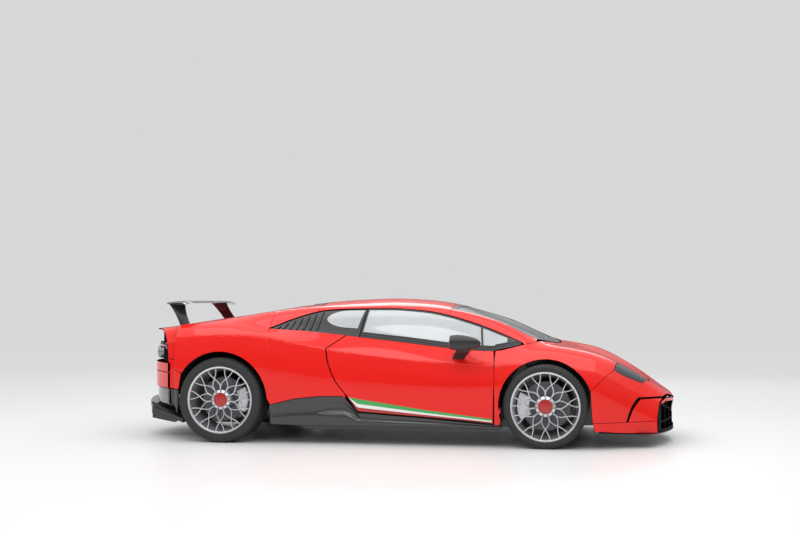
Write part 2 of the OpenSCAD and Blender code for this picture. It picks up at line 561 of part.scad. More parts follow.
module front_knuckle(side) color("#8f9194") {
    translate([front_x, side * kingpin_y, front_z]) {
        translate([0, 0, -post_half]) cylinder(r = 26, h = 2 * post_half, $fn = 48);
        translate([0, 0, -arm_reach - arm_t / 2 - 6]) cylinder(r = kingpin_r,
            h = 2 * arm_reach + arm_t + 12, $fn = 48);
    }
    at_wheel(front_x, front_y, front_tyre_d, side)
        hub_carrier(front_tyre_w, front_disc_d, -kingpin_in, side > 0 ? 90 : 270);
}
module wishbone(z) difference() {
    union() {
        upwards([[front_x - arm_spread - 18, tub_half], [front_x - arm_spread + 18, tub_half],
            [front_x + 6, kingpin_y - 40], [front_x + 20, kingpin_y], [front_x - 20, kingpin_y]],
            z - arm_t / 2, z + arm_t / 2);
        upwards([[front_x + arm_spread + 18, tub_half], [front_x + arm_spread - 18, tub_half],
            [front_x - 6, kingpin_y - 40], [front_x - 20, kingpin_y], [front_x + 20, kingpin_y]],
            z - arm_t / 2, z + arm_t / 2);
        translate([front_x, kingpin_y, z - arm_t / 2]) cylinder(r = eye_r, h = arm_t, $fn = 48);
    }
    translate([front_x, kingpin_y, z - arm_t]) cylinder(r = kingpin_r + running, h = 2 * arm_t, $fn = 48);
}
module suspension() color("#77797c") {
    both_sides() {
        for (side = [-1, 1]) wishbone(front_z + side * arm_reach);
        at_wheel(rear_x, rear_y, rear_tyre_d, 1) hub_carrier(rear_tyre_w, rear_disc_d, -90, 270);
        block([rear_x - 40, rear_x + 40], [rear_y - 120, rear_y - 60], [rear_z - 130, rear_z + 130]);
        for (z = [rear_z - 105, rear_z + 85]) block([rear_x - 110, rear_x - 78],
            [rail_half + 0.2, rear_y - 80], [z, z + 22]);
        for (z = [rear_z - 105, rear_z + 85]) block([rear_x - 80, rear_x],
            [rear_y - 112, rear_y - 80], [z, z + 22]);
        translate([rear_x, Y(152), rear_z]) rotate([-90, 0, 0]) cylinder(r = 24, h = rear_y - 70 - Y(152),
            $fn = 32);
    }
}
module wheel_liners() color("#141416") both_sides() {
    liner(front_x, front_z, front_z + 52, tub_half + 0.5, Y(790));
    liner(rear_x, rear_z, rear_z + 50, rail_half + 0.5, Y(800));
}
// hollow half drum over a wheel
module liner(x, z, r, y0, y1) difference() {
    translate([x, y0, z]) rotate([-90, 0, 0]) cylinder(r = r, h = y1 - y0, $fn = 96);
    translate([x, y0 - 1, z]) rotate([-90, 0, 0]) cylinder(r = r - 4, h = y1 - y0 + 2, $fn = 96);
    block([x - r - 1, x + r + 1], [y0 - 1, y1 + 1], [z - r - 1, z - 40]);
}

// ---- doors, lids and what they carry
door_low = on_side([[-262, 394], [-178, 268], [60, 252], [323, 234], [640, 211], [door_front, 188]]);

door_feet = [-262, -178, -60, 60, 200, 323, 480, 640, 770, door_front];
door_tops = steps(door_rear_top, door_front, 9);
// point inside the door where its latch rod ends
latch = (on_line(door_low, [door_feet[1]])[0] + on_line(belt, [door_tops[1]], -0.017)[0]) / 2;

module door(side) color("#d01408") mirror([0, side > 0 ? 0 : 1, 0]) {
    panel(on_line(door_low, door_feet), on_line(belt, door_tops, -0.017), 8, door_t,
        [for (i = [0:len(door_feet) - 1]) door_kink * max(0, 1 - i / 4)], kink_share);
}
module door_glass(side) color("#7f8c92") mirror([0, side > 0 ? 0 : 1, 0]) {
    foot = concat([pane_rear_low + 2], [for (i = [2:9]) door_tops[i]], [960, 1060, 1112]);
    head = concat(steps(pane_rear_top + 2, 960, 9), [1060, 1112]);
    panel([for (s = foot) [s, follow(belt, s) + (s > door_front ? 0.03 : s == door_front ? 0.014 : -0.009)]],
        on_line(glass_top, head, -line_gap), 2, glass_t);
}
module mirror_unit(side) color("#1b1c20") mirror([0, side > 0 ? 0 : 1, 0]) translate([X(640), 0, 0]) {
    hull() {
        translate([0, Y(1010), Z(822)]) sphere(r = 46, $fn = 20);
        translate([10, Y(1068), Z(818)]) sphere(r = 42, $fn = 20);
        translate([90, Y(1030), Z(812)]) sphere(r = 30, $fn = 20);
    }
    hull() {
        translate([20, Y(1000), Z(790)]) sphere(r = 12, $fn = 16);
        translate(skin(640, 3.55) + skin_normal(640, 3.55) * 13.6 - [X(640), 0, 0]) sphere(r = 14, $fn = 16);
    }
}
module front_lid() color("#d01408") {
    lid = concat([1242, 1275], steps(1330, lid_front, 8));
    panel(on_line(lid_side, lid, line_gap), [for (s = lid) [s, 2 * centre - follow(lid_side, s) - line_gap]],
        10, lid_t, [for (s = lid) screen_bulge * (1 - (s - 1242) / (lid_front - 1242))]);
}
module engine_cover() color("#16171a") {
    cover = steps(cover_rear, roof_rear - hinge_gap / 2, 9);
    panel([for (s = cover) [s, cover_side + 0.004]], [for (s = cover) [s, 2 * centre - cover_side - 0.004]],
        8, lid_t);
}
module rear_wing() color("#16171a") {
    wing_x = X(-1826);             // its rear edge
    wing_chord = 205;
    wing_z = Z(1130);
    upright_t = 12;
    across([[wing_x, wing_z], [wing_x, wing_z + 1.5], [wing_x + 45, wing_z + 9], [wing_x + 95, wing_z + 14],
        [wing_x + 145, wing_z + 16], [wing_x + 190, wing_z + 12], [wing_x + wing_chord, wing_z + 3],
        [wing_x + wing_chord - 2, wing_z]], -Y(700), Y(700));
    both_sides() slab(upright(wing_x, wing_z, upright_t / 2), upright(wing_x, wing_z, -upright_t / 2), 4, 1);
}
// one face of a raked upright, from the haunch to the underside of the wing
function upright(x, z, out) = [for (i = [0:3], j = [0:1]) let (foot = skin(-1812 + 48 * i, 4.62 - out * 0.0044))
    j == 0 ? foot + [0, 0, 0.3] : [x + 49 * i + 1, Y(560) + out, z - seam]];

body_tub();
side_skirts();
front_bumper();
grilles();
front_splitter();
front_fenders();
rear_quarters();
roof();
windscreen();
quarter_glass();
rear_deck();
rear_bumper();
rear_diffuser();
rear_wing();
headlights();
tail_lights();
engine();
exhaust();
seats();
dashboard();
suspension();
wheel_liners();
front_knuckle(1);  // front_knuckle_left
front_knuckle(-1);  // front_knuckle_right
tyre_front(1);  // tyre_front_left
tyre_front(-1);  // tyre_front_right
tyre_rear(1);  // tyre_rear_left
tyre_rear(-1);  // tyre_rear_right
rim_front(1);  // rim_front_left
rim_front(-1);  // rim_front_right
rim_rear(1);  // rim_rear_left
rim_rear(-1);  // rim_rear_right
disc_front(1);  // brake_disc_front_left
disc_front(-1);  // brake_disc_front_right
disc_rear(1);  // brake_disc_rear_left
disc_rear(-1);  // brake_disc_rear_right
door(1);  // door_left
door(-1);  // door_right
door_glass(1);  // door_glass_left
door_glass(-1);  // door_glass_right
mirror_unit(1);  // mirror_left
mirror_unit(-1);  // mirror_right
front_lid();
engine_cover();
steering_wheel();
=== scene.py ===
"""Looks of a mid-engined two-seat supercar, built round its CAD frame. Lengths are in mm until xyz()."""
import math

import bpy
import numpy as np
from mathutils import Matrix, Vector


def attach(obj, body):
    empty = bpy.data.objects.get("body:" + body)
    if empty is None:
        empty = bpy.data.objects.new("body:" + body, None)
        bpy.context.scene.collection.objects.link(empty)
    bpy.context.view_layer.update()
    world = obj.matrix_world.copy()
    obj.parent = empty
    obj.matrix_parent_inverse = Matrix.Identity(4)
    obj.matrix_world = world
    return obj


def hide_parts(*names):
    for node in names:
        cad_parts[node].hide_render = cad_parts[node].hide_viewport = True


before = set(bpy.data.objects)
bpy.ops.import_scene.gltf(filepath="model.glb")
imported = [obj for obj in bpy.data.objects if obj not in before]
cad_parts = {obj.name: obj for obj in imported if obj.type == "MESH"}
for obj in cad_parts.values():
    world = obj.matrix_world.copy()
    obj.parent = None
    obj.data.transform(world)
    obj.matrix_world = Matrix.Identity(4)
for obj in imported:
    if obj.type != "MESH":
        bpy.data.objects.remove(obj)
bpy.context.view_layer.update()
scene = bpy.context.scene

# ---- camera; the floor and light come under stage below
CAMERA_AT = (1.798, -10.561, 1.145)
TURN, TILT = math.radians(9.99), math.radians(1.58)
camera = bpy.data.objects.new("camera", bpy.data.cameras.new("camera"))
scene.collection.objects.link(camera)
camera.location = CAMERA_AT
look = Vector((-math.sin(TURN) * math.cos(TILT), math.cos(TURN) * math.cos(TILT), math.sin(TILT)))
camera.rotation_euler = look.to_track_quat("-Z", "Y").to_euler()
camera.data.lens = 55.6
camera.data.sensor_width = 36
scene.camera = camera
scene.view_settings.view_transform = "Standard"

# ---- materials
def add(tree, kind, **values):
    node = tree.nodes.new(kind)
    for key, value in values.items():
        if hasattr(node, key) and key not in node.inputs:
            setattr(node, key, value)
        else:
            node.inputs[key].default_value = value
    return node


def started(name, **values):
    """New material, its tree and its shader, with the shader's inputs set."""
    mat = bpy.data.materials.new(name)
    mat.use_nodes = True
    shader = mat.node_tree.nodes["Principled BSDF"]
    for key, value in values.items():
        shader.inputs[key.replace("_", " ")].default_value = value
    return mat, mat.node_tree, shader


def blend(tree, source, low, high, target, at=(0.0, 1.0)):
    """Ramp between two colours, from one socket to another."""
    ramp = add(tree, "ShaderNodeValToRGB")
    for stop, colour, place in zip(ramp.color_ramp.elements, (low, high), at):
        stop.color, stop.position = (*colour, 1), place
    tree.links.new(source, ramp.inputs["Fac"])
    tree.links.new(ramp.outputs["Color"], target)


def relief(tree, source, shader, strength, depth):
    bump = add(tree, "ShaderNodeBump", Strength=strength, Distance=depth)
    tree.links.new(source, bump.inputs["Height"])
    tree.links.new(bump.outputs["Normal"], shader.inputs["Normal"])


def material(name, colour, rough=0.4, metal=0.0, coat=0.0, grain=(60, 0.12), bump=(200, 0.05), vary=0.12,
             **extra):
    """Surface with noise in colour (`vary`), roughness (`grain`) and relief (`bump`: scale, height)."""
    mat, tree, shader = started(name, Metallic=metal, Coat_Weight=coat, Coat_Roughness=0.03, **extra)
    place = add(tree, "ShaderNodeTexCoord").outputs["Object"]
    noise = add(tree, "ShaderNodeTexNoise", Scale=grain[0], Detail=4.0)
    tree.links.new(place, noise.inputs["Vector"])
    dark, light = ([min(1, c * share) for c in colour] for share in (1 - vary, 1 + vary))
    blend(tree, noise.outputs["Fac"], dark, light, shader.inputs["Base Color"], (0.3, 0.7))
    spread = add(tree, "ShaderNodeMapRange", **{"To Min": max(0.0, rough * (1 - grain[1])),
                                                "To Max": min(1.0, rough * (1 + grain[1]))})
    tree.links.new(noise.outputs["Fac"], spread.inputs["Value"])
    tree.links.new(spread.outputs["Result"], shader.inputs["Roughness"])
    if bump[1]:
        fine = add(tree, "ShaderNodeTexNoise", Scale=bump[0], Detail=3.0)
        tree.links.new(place, fine.inputs["Vector"])
        relief(tree, fine.outputs["Fac"], shader, bump[1], 0.001)
    return mat


def woven(name, dark, light, size, rough, coat, height):
    """Twill of crossing tows, `size` metres across: carbon when fine and glossy, cloth when matt."""
    mat, tree, shader = started(name, Roughness=rough, Coat_Weight=coat, Coat_Roughness=0.05)
    place = add(tree, "ShaderNodeTexCoord").outputs["Object"]
    cross = add(tree, "ShaderNodeMath", operation="MULTIPLY")
    for turn, factor in ((45, cross.inputs[0]), (-45, cross.inputs[1])):
        spin = add(tree, "ShaderNodeMapping", Rotation=[math.radians(turn)] * 3)
        wave = add(tree, "ShaderNodeTexWave", Scale=0.31 / size)
        tree.links.new(place, spin.inputs["Vector"])
        tree.links.new(spin.outputs["Vector"], wave.inputs["Vector"])
        tree.links.new(wave.outputs["Fac"], factor)
    blend(tree, cross.outputs[0], dark, light, shader.inputs["Base Color"])
    relief(tree, cross.outputs[0], shader, height, 0.0005)
    return mat


RED = material("red_paint", (0.78, 0.007, 0.003), 0.5, coat=0.7, grain=(900, 0.1), bump=(7, 0.015), vary=0.05,
               Specular_IOR_Level=0.1)
CARBON = woven("carbon_gloss", (0.006, 0.006, 0.007), (0.03, 0.03, 0.033), 0.004, 0.35, 0.8, 0.1)
BLACK = material("satin_black", (0.012, 0.012, 0.013), 0.42, coat=0.2, vary=0.3)
MESH = material("grille_black", (0.004, 0.004, 0.005), 0.7, vary=0.3, Specular_IOR_Level=0.15)
GLASS = material("side_glass", (0.8, 0.84, 0.86), 0.04, coat=0.6, grain=(3, 0.2), bump=(4, 0.0), vary=0.03,
                 Transmission_Weight=0.5, IOR=1.45)
CLEAR = material("lamp_glass", (0.16, 0.17, 0.19), 0.03, coat=0.3, grain=(5, 0.2), bump=(4, 0.0), vary=0.03,
                 Transmission_Weight=0.92, IOR=1.45)
LAMP_RED = material("lamp_red", (0.42, 0.01, 0.008), 0.12, coat=0.8, vary=0.2, Transmission_Weight=0.25)
SILVER = material("rim_silver", (0.66, 0.67, 0.69), 0.32, metal=0.85, coat=0.3, grain=(400, 0.25), vary=0.06)
CALIPER = material("caliper_grey", (0.72, 0.73, 0.75), 0.3, metal=0.55, coat=0.4, vary=0.08)
IRON = material("disc_iron", (0.13, 0.13, 0.14), 0.5, metal=0.5, grain=(120, 0.3), vary=0.25)
RUBBER = material("tyre_rubber", (0.022, 0.022, 0.023), 0.72, grain=(80, 0.15), bump=(500, 0.25), vary=0.25)
CAP_RED = material("cap_red", (0.4, 0.012, 0.01), 0.3, coat=0.6, vary=0.12)
TRIM = material("cabin_trim", (0.024, 0.024, 0.026), 0.75, grain=(900, 0.1), bump=(1200, 0.35), vary=0.3)
CLOTH = woven("seat_suede", (0.012, 0.012, 0.013), (0.03, 0.03, 0.032), 0.0016, 0.9, 0.0, 0.4)
METAL = material("engine_metal", (0.3, 0.31, 0.32), 0.42, metal=0.8, grain=(60, 0.3), vary=0.2)
STEEL = material("exhaust_steel", (0.5, 0.48, 0.45), 0.3, metal=0.95, grain=(40, 0.4), vary=0.15)
FRAME_GREY = material("chassis_grey", (0.12, 0.12, 0.13), 0.5, metal=0.6, vary=0.2)
LINER = material("liner_black", (0.01, 0.01, 0.011), 0.85, grain=(150, 0.1), bump=(700, 0.5), vary=0.3)
GREEN = material("stripe_green", (0.02, 0.34, 0.055), 0.35, coat=0.9, vary=0.05)
WHITE = material("stripe_white", (0.8, 0.8, 0.79), 0.35, coat=0.9, vary=0.03)
MIRROR = material("mirror_silver", (0.85, 0.86, 0.87), 0.03, metal=1.0, vary=0.02)
LIGHT = material("lamp_strip", (0.75, 0.77, 0.8), 0.25, coat=0.5, vary=0.05)

KEPT = {"tub_carbon": CARBON, "black_carbon": CARBON, "red_paint": RED, "black_grille": MESH,
        "window_glass": GLASS, "lamp_glass": CLEAR, "tail_lamp_red": LAMP_RED, "engine_metal": METAL,
        "exhaust_metal": STEEL, "seat_cloth": CLOTH, "cabin_trim": TRIM, "chassis_metal": FRAME_GREY,
        "liner_plastic": LINER, "tyre_rubber": RUBBER, "rim_silver": SILVER, "disc_iron": IRON}

# ---- the body's outer skin: lines of [half width, height] at each station, tail to nose
SIDES = ((1, "left"), (-1, "right"))
SHIFT = 67
STATIONS = np.array([-2120, -1900, -1600, -1310, -1000, -650, -300, 100, 500, 900, 1310, 1650, 1950, 2150,
                     2320], float)
LINES = np.array([
    [[800, 225], [860, 205], [915, 190], [925, 170], [915, 155], [905, 150], [900, 150], [900, 150],
     [900, 150], [908, 148], [918, 145], [912, 140], [850, 128], [760, 118], [640, 112]],
    [[815, 400], [878, 385], [935, 372], [950, 362], [938, 350], [928, 335], [920, 320], [915, 292],
     [915, 272], [922, 262], [942, 272], [932, 268], [866, 240], [772, 215], [645, 190]],
    [[820, 600], [885, 610], [945, 615], [962, 630], [955, 600], [936, 560], [926, 520], [922, 486],
     [924, 470], [936, 474], [957, 500], [940, 470], [866, 400], [768, 335], [632, 270]],
    [[790, 800], [850, 830], [910, 858], [938, 872], [930, 868], [916, 800], [906, 738], [904, 692],
     [904, 662], [914, 650], [944, 655], [918, 606], [828, 522], [728, 444], [598, 352]],
    [[690, 905], [735, 925], [785, 948], [812, 960], [812, 938], [818, 906], [826, 872], [830, 828],
     [828, 782], [816, 755], [790, 778], [742, 733], [664, 634], [580, 538], [470, 402]],
    [[420, 912], [500, 935], [568, 968], [598, 1004], [616, 1050], [628, 1086], [634, 1098], [634, 1100],
     [626, 1074], [612, 985], [560, 818], [430, 736], [372, 614], [318, 492], [250, 380]],
    [[0, 905], [0, 932], [0, 985], [0, 1024], [0, 1068], [0, 1128], [0, 1157], [0, 1165], [0, 1120],
     [0, 985], [0, 820], [0, 720], [0, 586], [0, 464], [0, 352]]], float)
CENTRE = 6
HALF_W = 962
NOSE, TAIL = 2320, -2120
NOSE_BOW, TAIL_BOW, BOW_FROM = 340, 450, 1650


def slopes(x, y):
    """Slope of each point from its neighbours, along the last axis of x."""
    a = np.maximum(np.arange(len(x)) - 1, 0)
    b = np.minimum(np.arange(len(x)) + 1, len(x) - 1)
    return (y[..., b, :] - y[..., a, :]) / (x[b] - x[a])[:, None]


LINE_SLOPES = slopes(STATIONS, LINES)


def ease(v):
    c = np.clip(v, 0, 1)
    return c * c * (3 - 2 * c)


def hermite(p, q, m, n, u):
    left = (1 - u) ** 2
    return p * (1 + 2 * u) * left + m * u * left + q * u * u * (3 - 2 * u) + n * u * u * (u - 1)


def section(s):
    """Points of the section's lines at stations s."""
    i = np.clip(np.searchsorted(STATIONS, s, "right") - 1, 0, len(STATIONS) - 2)
    h = (STATIONS[i + 1] - STATIONS[i])[:, None]
    u = (s[:, None] - STATIONS[i][:, None]) / h
    return hermite(LINES[:, i], LINES[:, i + 1], LINE_SLOPES[:, i] * h, LINE_SLOPES[:, i + 1] * h, u)


def crease(s):
    """How folded the section is at each line."""
    flat = np.zeros((CENTRE + 1, len(s)))
    flat[3] = 0.75
    flat[4] = 0.9 * ease((s + 1050) / 200) * ease((1240 - s) / 200)
    flat[5] = 0.35
    return flat[..., None]


def outline(s, t):
    """Half width and height of the section at station s and line t, 0 to 6."""
    sec = section(s)
    w = crease(s)
    gap = sec[1:] - sec[:-1]
    soft = (sec[2:] - sec[:-2]) / 2
    ahead, back = np.empty_like(sec), np.empty_like(sec)
    ahead[1:-1] = soft * (1 - w[1:-1]) + gap[1:] * w[1:-1]
    back[1:-1] = soft * (1 - w[1:-1]) + gap[:-1] * w[1:-1]
    ahead[0] = back[0] = gap[0]
    level = np.stack([-sec[CENTRE - 1][:, 0], np.zeros(len(s))], -1)
    ahead[CENTRE] = back[CENTRE] = level
    j = np.clip(np.floor(t).astype(int), 0, CENTRE - 1)
    k = np.arange(len(s))
    u = (t - j)[:, None]
    return hermite(sec[j, k], sec[j + 1, k], ahead[j, k], back[j + 1, k], u)


def xyz(points):
    """Drawn mm to metres in the frame."""
    return (np.asarray(points, float) - (SHIFT, 0, 0)) / 1000


def pairs(a, b):
    """Two runs of numbers as points; either may be one number."""
    return np.stack(np.broadcast_arrays(np.asarray(a, float), b), -1)


def over(s, t):
    """The same edge on the left and on the right of the body."""
    return pairs(s, t), pairs(s, 2 * CENTRE - t)


def skin(s, t):
    """Points of the body at stations s and lines t, which run 0 to 6 on the left and 6 to 12 on the right."""
    s, t = np.broadcast_arrays(np.asarray(s, float), np.asarray(t, float))
    shape = s.shape
    s, t = s.ravel(), t.ravel()
    p = outline(s, np.where(t <= CENTRE, t, 2 * CENTRE - t))
    side = np.where(t <= CENTRE, 1, -1)
    bow = TAIL_BOW * ease((-BOW_FROM - s) / 470) - NOSE_BOW * ease((s - BOW_FROM) / 670)
    return np.stack([s + bow * (p[:, 0] / HALF_W) ** 2, side * p[:, 0], p[:, 1]], -1).reshape(*shape, 3)


def skin_normal(s, t):
    s, t = np.broadcast_arrays(np.asarray(s, float), np.asarray(t, float))
    up = np.minimum(t + 0.02, 2 * CENTRE)
    down = np.maximum(t - 0.02, 0)
    n = np.cross(skin(s, up) - skin(s, down), skin(s + 3, t) - skin(s - 3, t))
    return n / np.linalg.norm(n, axis=-1, keepdims=True)


def line_of(s, z):
    """The line at which the body's side has height z."""
    s, z = np.broadcast_arrays(np.asarray(s, float), np.asarray(z, float))
    lo, hi = np.zeros(s.shape), np.full(s.shape, 5.0)
    for _ in range(22):
        mid = (lo + hi) / 2
        low = outline(s.ravel(), mid.ravel())[:, 1].reshape(s.shape) < z
        lo, hi = np.where(low, mid, lo), np.where(low, hi, mid)
    return (lo + hi) / 2


class Edge:
    """Line across the body as a function of the station, through points of [station, height]."""
    def __init__(self, points, smooth=True, lines=False):
        p = np.array(points, float)
        dense = np.linspace(p[0, 0], p[-1, 0], 240)
        if smooth:
            i = np.clip(np.searchsorted(p[:, 0], dense, "right") - 1, 0, len(p) - 2)
            h = p[i + 1, 0] - p[i, 0]
            m = slopes(p[:, 0], p[:, 1:])[:, 0]
            v = hermite(p[i, 1], p[i + 1, 1], m[i] * h, m[i + 1] * h, (dense - p[i, 0]) / h)
        else:
            v = np.interp(dense, p[:, 0], p[:, 1])
        self.s, self.t = dense, v if lines else line_of(dense, v)

    def __call__(self, s):
        return np.interp(s, self.s, self.t)


def along(edge, stations, lift=0.0):
    return pairs(stations, edge(stations) + lift)


def spread(points, n):
    """n points evenly along a broken line, keeping its ends."""
    p = np.array(points, float)
    scale = np.array([1, 250])
    d = np.r_[0, np.cumsum(np.linalg.norm(np.diff(p, axis=0) * scale, axis=1))]
    at = np.linspace(0, d[-1], n)
    return pairs(np.interp(at, d, p[:, 0]), np.interp(at, d, p[:, 1]))


def patch(low, high, n, rows, left=None, right=None):
    """Stations and lines over a four-sided region, by blending its edges."""
    b, t = spread(low, n), spread(high, n)
    v = np.linspace(0, 1, rows + 1)[None, :, None]
    u = np.linspace(0, 1, n)[:, None, None]
    grid = (1 - v) * b[:, None] + v * t[:, None]
    for side, weight, ends in ((left, 1 - u, (b[0], t[0])), (right, u, (b[-1], t[-1]))):
        if side is not None:
            run = spread(side, rows + 1)[None]
            straight = (1 - v) * ends[0] + v * ends[1]
            grid = grid + weight * (run - straight)
    return grid


# ---- making pieces
def piece(name, verts, faces, mat, body="body", normals=None):
    """Mesh object in metres that rides on a body."""
    mesh = bpy.data.meshes.new(name)
    mesh.from_pydata(np.asarray(verts, float).tolist(), [], [tuple(int(i) for i in f) for f in faces])
    mesh.update()
    mesh.shade_smooth()
    if normals is not None:
        mesh.normals_split_custom_set_from_vertices(np.asarray(normals, float).tolist())
    mesh.materials.append(mat)
    obj = bpy.data.objects.new(name, mesh)
    scene.collection.objects.link(obj)
    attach(obj, body)
    return obj


def quads(n, m, start=0, wrap=False):
    """Faces of a grid of n by m points."""
    i, j = np.meshgrid(np.arange(n if wrap else n - 1), np.arange(m - 1), indexing="ij")
    a = start + (i * m + j).ravel()
    b = start + (((i + 1) % n) * m + j).ravel()
    return np.stack([a, a + 1, b + 1, b], -1)


def rim_loop(n, m):
    """Indices round the border of a grid of n by m points."""
    g = np.arange(n * m).reshape(n, m)
    return np.r_[g[:-1, 0], g[-1, :-1], g[:0:-1, -1], g[0, :0:-1]]


def shell(outer, normal, thick, edge=1.6):
    """Closed plate under a grid of points in mm, with rounded edges: points, faces, normals."""
    n, m = outer.shape[:2]
    loop = rim_loop(n, m)
    flat, norm = outer.reshape(-1, 3).copy(), normal.reshape(-1, 3)
    rim, rim_n = flat[loop], norm[loop]
    run = np.roll(rim, -1, 0) - np.roll(rim, 1, 0)
    away = np.cross(run, rim_n)
    away /= np.linalg.norm(away, axis=1, keepdims=True) + 1e-9
    if np.sum(away * (rim - flat.mean(0))) < 0:
        away = -away
    flat[loop] = rim - away * edge
    verts, norms, faces = [flat], [norm], [quads(n, m)]
    count, ring = n * m, loop
    size = len(loop)
    for angle, deeper in ((45, 0), (90, 0), (90, thick - edge)):
        a = math.radians(angle)
        verts.append(rim - away * edge * (1 - math.sin(a)) - rim_n * (edge * (1 - math.cos(a)) + deeper))
        norms.append(rim_n * math.cos(a) + away * math.sin(a))
        new = count + np.arange(size)
        faces.append(np.stack([ring, new, np.roll(new, -1), np.roll(ring, -1)], -1))
        ring, count = new, count + size
    under = outer.reshape(-1, 3) - norm * thick
    verts.append(under)
    norms.append(-norm)
    faces.append(quads(n, m, count)[:, ::-1])
    faces.append(np.stack([ring, count + loop, np.roll(count + loop, -1), np.roll(ring, -1)], -1))
    verts, norms, faces = np.concatenate(verts), np.concatenate(norms), np.concatenate(faces)
    a, b, c = (verts[faces[: (n - 1) * (m - 1), k]] for k in range(3))
    if np.sum(np.cross(b - a, c - a) * norms[faces[: (n - 1) * (m - 1), 0]]) < 0:
        faces = faces[:, ::-1]
    return verts, faces, norms


def joined(parts):
    """One set of points, faces and normals from several."""
    verts, faces, norms, count = [], [], [], 0
    for v, f, n in parts:
        verts.append(v)
        norms.append(n)
        faces += [tuple(np.asarray(q) + count) for q in f]
        count += len(v)
    return np.concatenate(verts), faces, np.concatenate(norms)


def mirrored(part):
    v, f, n = part
    flip = np.array([1, -1, 1])
    return v * flip, [tuple(q[::-1]) for q in f], n * flip


def plate(grid, thick=3.0, lift=0.0, edge=1.6):
    s, t = grid[..., 0], grid[..., 1]
    n = skin_normal(s, t)
    return shell(skin(s, t) + n * lift, n, thick, edge)


def panel(name, parts, mat, body="body", nodes=(), sides=(1, -1), whole=()):
    """Object from skin plates drawn on the left and put on `sides`, and plates kept as they are (`whole`)."""
    made = list(whole)
    for part in parts:
        made += [part if side > 0 else mirrored(part) for side in sides]
    v, f, n = joined(made)
    obj = piece(name, xyz(v), f, mat, body, n)
    if nodes:
        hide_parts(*nodes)


# ---- edges that neighbouring panels share, as [station, height] on the body's side
glass_top = Edge([[-935, 926], [-720, 1012], [-503, 1070], [-129, 1086], [153, 1084], [438, 1052], [763, 962],
                  [1027, 858], [1131, 812]])
belt = Edge([[-935, 922], [-650, 905], [-386, 880], [-196, 860], [178, 818], [548, 775], [880, 752],
             [980, 766], [1131, 803], [1236, 824]])
skirt_top = Edge([[-905, 308], [-686, 362], [-480, 383], [-290, 386], [-178, 258], [323, 224], [884, 178],
                  [960, 176]], smooth=False)
door_low = Edge([[-262, 394], [-178, 268], [60, 252], [323, 234], [640, 211], [900, 188]], smooth=False)
lid_side = Edge([[1236, 4.62], [1310, 4.5], [1850, 4.4], [2320, 4.4]], smooth=False, lines=True)
screen_side = Edge([[530, 5.1], [900, 5.06], [1230, 4.86]], smooth=False, lines=True)
bumper_top = Edge([[1653, 451], [1730, 507], [1815, 560], [1905, 608]])
lamp_low = Edge([[1905, 608], [1970, 580], [2040, 554], [2110, 528], [2185, 497]])
FRONT_X, REAR_X = 1310, -1310
FRONT_Z, REAR_Z = 327.5, 345.5
FRONT_ARCH, REAR_ARCH = (FRONT_X, 365.5, FRONT_Z), (REAR_X, 389.5, REAR_Z)
COVER_SIDE, COVER_GAP = 5.3, 0.026


def arch(axle, radius, centre_z, start, end, n):
    a = np.radians(np.linspace(start, end, n))
    s = axle + radius * np.cos(a)
    return pairs(s, line_of(s, centre_z + radius * np.sin(a)))


def on(points):
    """[station, height] points on the side as [station, line]."""
    p = np.array(points, float)
    return pairs(p[:, 0], line_of(p[:, 0], p[:, 1]))


def split(*lists):
    return np.concatenate([np.atleast_2d(np.array(part, float)) for part in lists])


# ---- doors: rear edge kinks at the shoulder, front edge bows a little
rear_cut = split(on([[-262, 394], [-345, 491], [-392, 579], [-425, 682], [-437, 765]]),
                 [[-290, belt(-290) - 0.012]])
front_cut = split([[900, door_low(900)]], on([[906, 373], [913, 545], [908, 674]]),
                  [[900, belt(900) - 0.012]])
door_grid = patch(along(door_low, np.linspace(-262, 900, 60)),
                  along(belt, np.linspace(-290, 900, 60), -0.012), 110, 44, rear_cut, front_cut)
stripe = np.linspace(-252, 893, 120)
stripe_low = along(door_low, stripe, 0.012)
stripe_high = pairs(stripe, line_of(stripe, np.interp(stripe, [-252, -178, 323, 900], [381, 368, 293, 222])))
for side, label in SIDES:
    body = "door_" + label
    panel("door_panel_" + label, [plate(door_grid, 32, edge=2.0)], RED, body, nodes=[body], sides=(side,))
    for first, last, paint, kind in ((0.62, 1.0, GREEN, "green"), (0.32, 0.62, WHITE, "white"),
                                     (0.02, 0.32, CAP_RED, "red")):
        low, high = (stripe_low * (1 - share) + stripe_high * share for share in (first, last))
        tape = plate(patch(low, high, 120, 3), 1.0, 0.5, 0.1)
        panel(f"stripe_{kind}_{label}", [tape], paint, body, sides=(side,))

# ---- side windows with their black borders
PANE_REAR = (-180, -136)
PANE_FRONT = 1112
SILL_BAND, TOP_BAND = 56, 12


def pane_point(share, up):
    """Stations and lines of a side window, from shares along it and up it."""
    share, up = np.broadcast_arrays(np.asarray(share, float), up)
    low_s = PANE_REAR[0] + (PANE_FRONT - PANE_REAR[0]) * share
    high_s = PANE_REAR[1] + (PANE_FRONT - PANE_REAR[1]) * share
    low = np.where(low_s > 900, belt(low_s) + 0.03, belt(low_s) - 0.009)
    high = glass_top(high_s) - COVER_GAP
    return pairs(low_s * (1 - up) + high_s * up, low * (1 - up) + high * up)


def pane_share(share, size):
    """How far up the window `size` mm is, from its foot, or from its top when negative."""
    low, high = pane_point(share, 0.0), pane_point(share, 1.0)
    tall = np.linalg.norm(skin(high[:, 0], high[:, 1]) - skin(low[:, 0], low[:, 1]), axis=-1)
    return np.clip(size / tall, 0, 1) if size >= 0 else 1 + np.clip(size / tall, -1, 0)


def pane_strip(share, low, high, rows=3):
    v = np.linspace(0, 1, rows + 1)[None]
    low, high = np.broadcast_to(low, share.shape)[:, None], np.broadcast_to(high, share.shape)[:, None]
    return pane_point(share[:, None], low * (1 - v) + high * v)


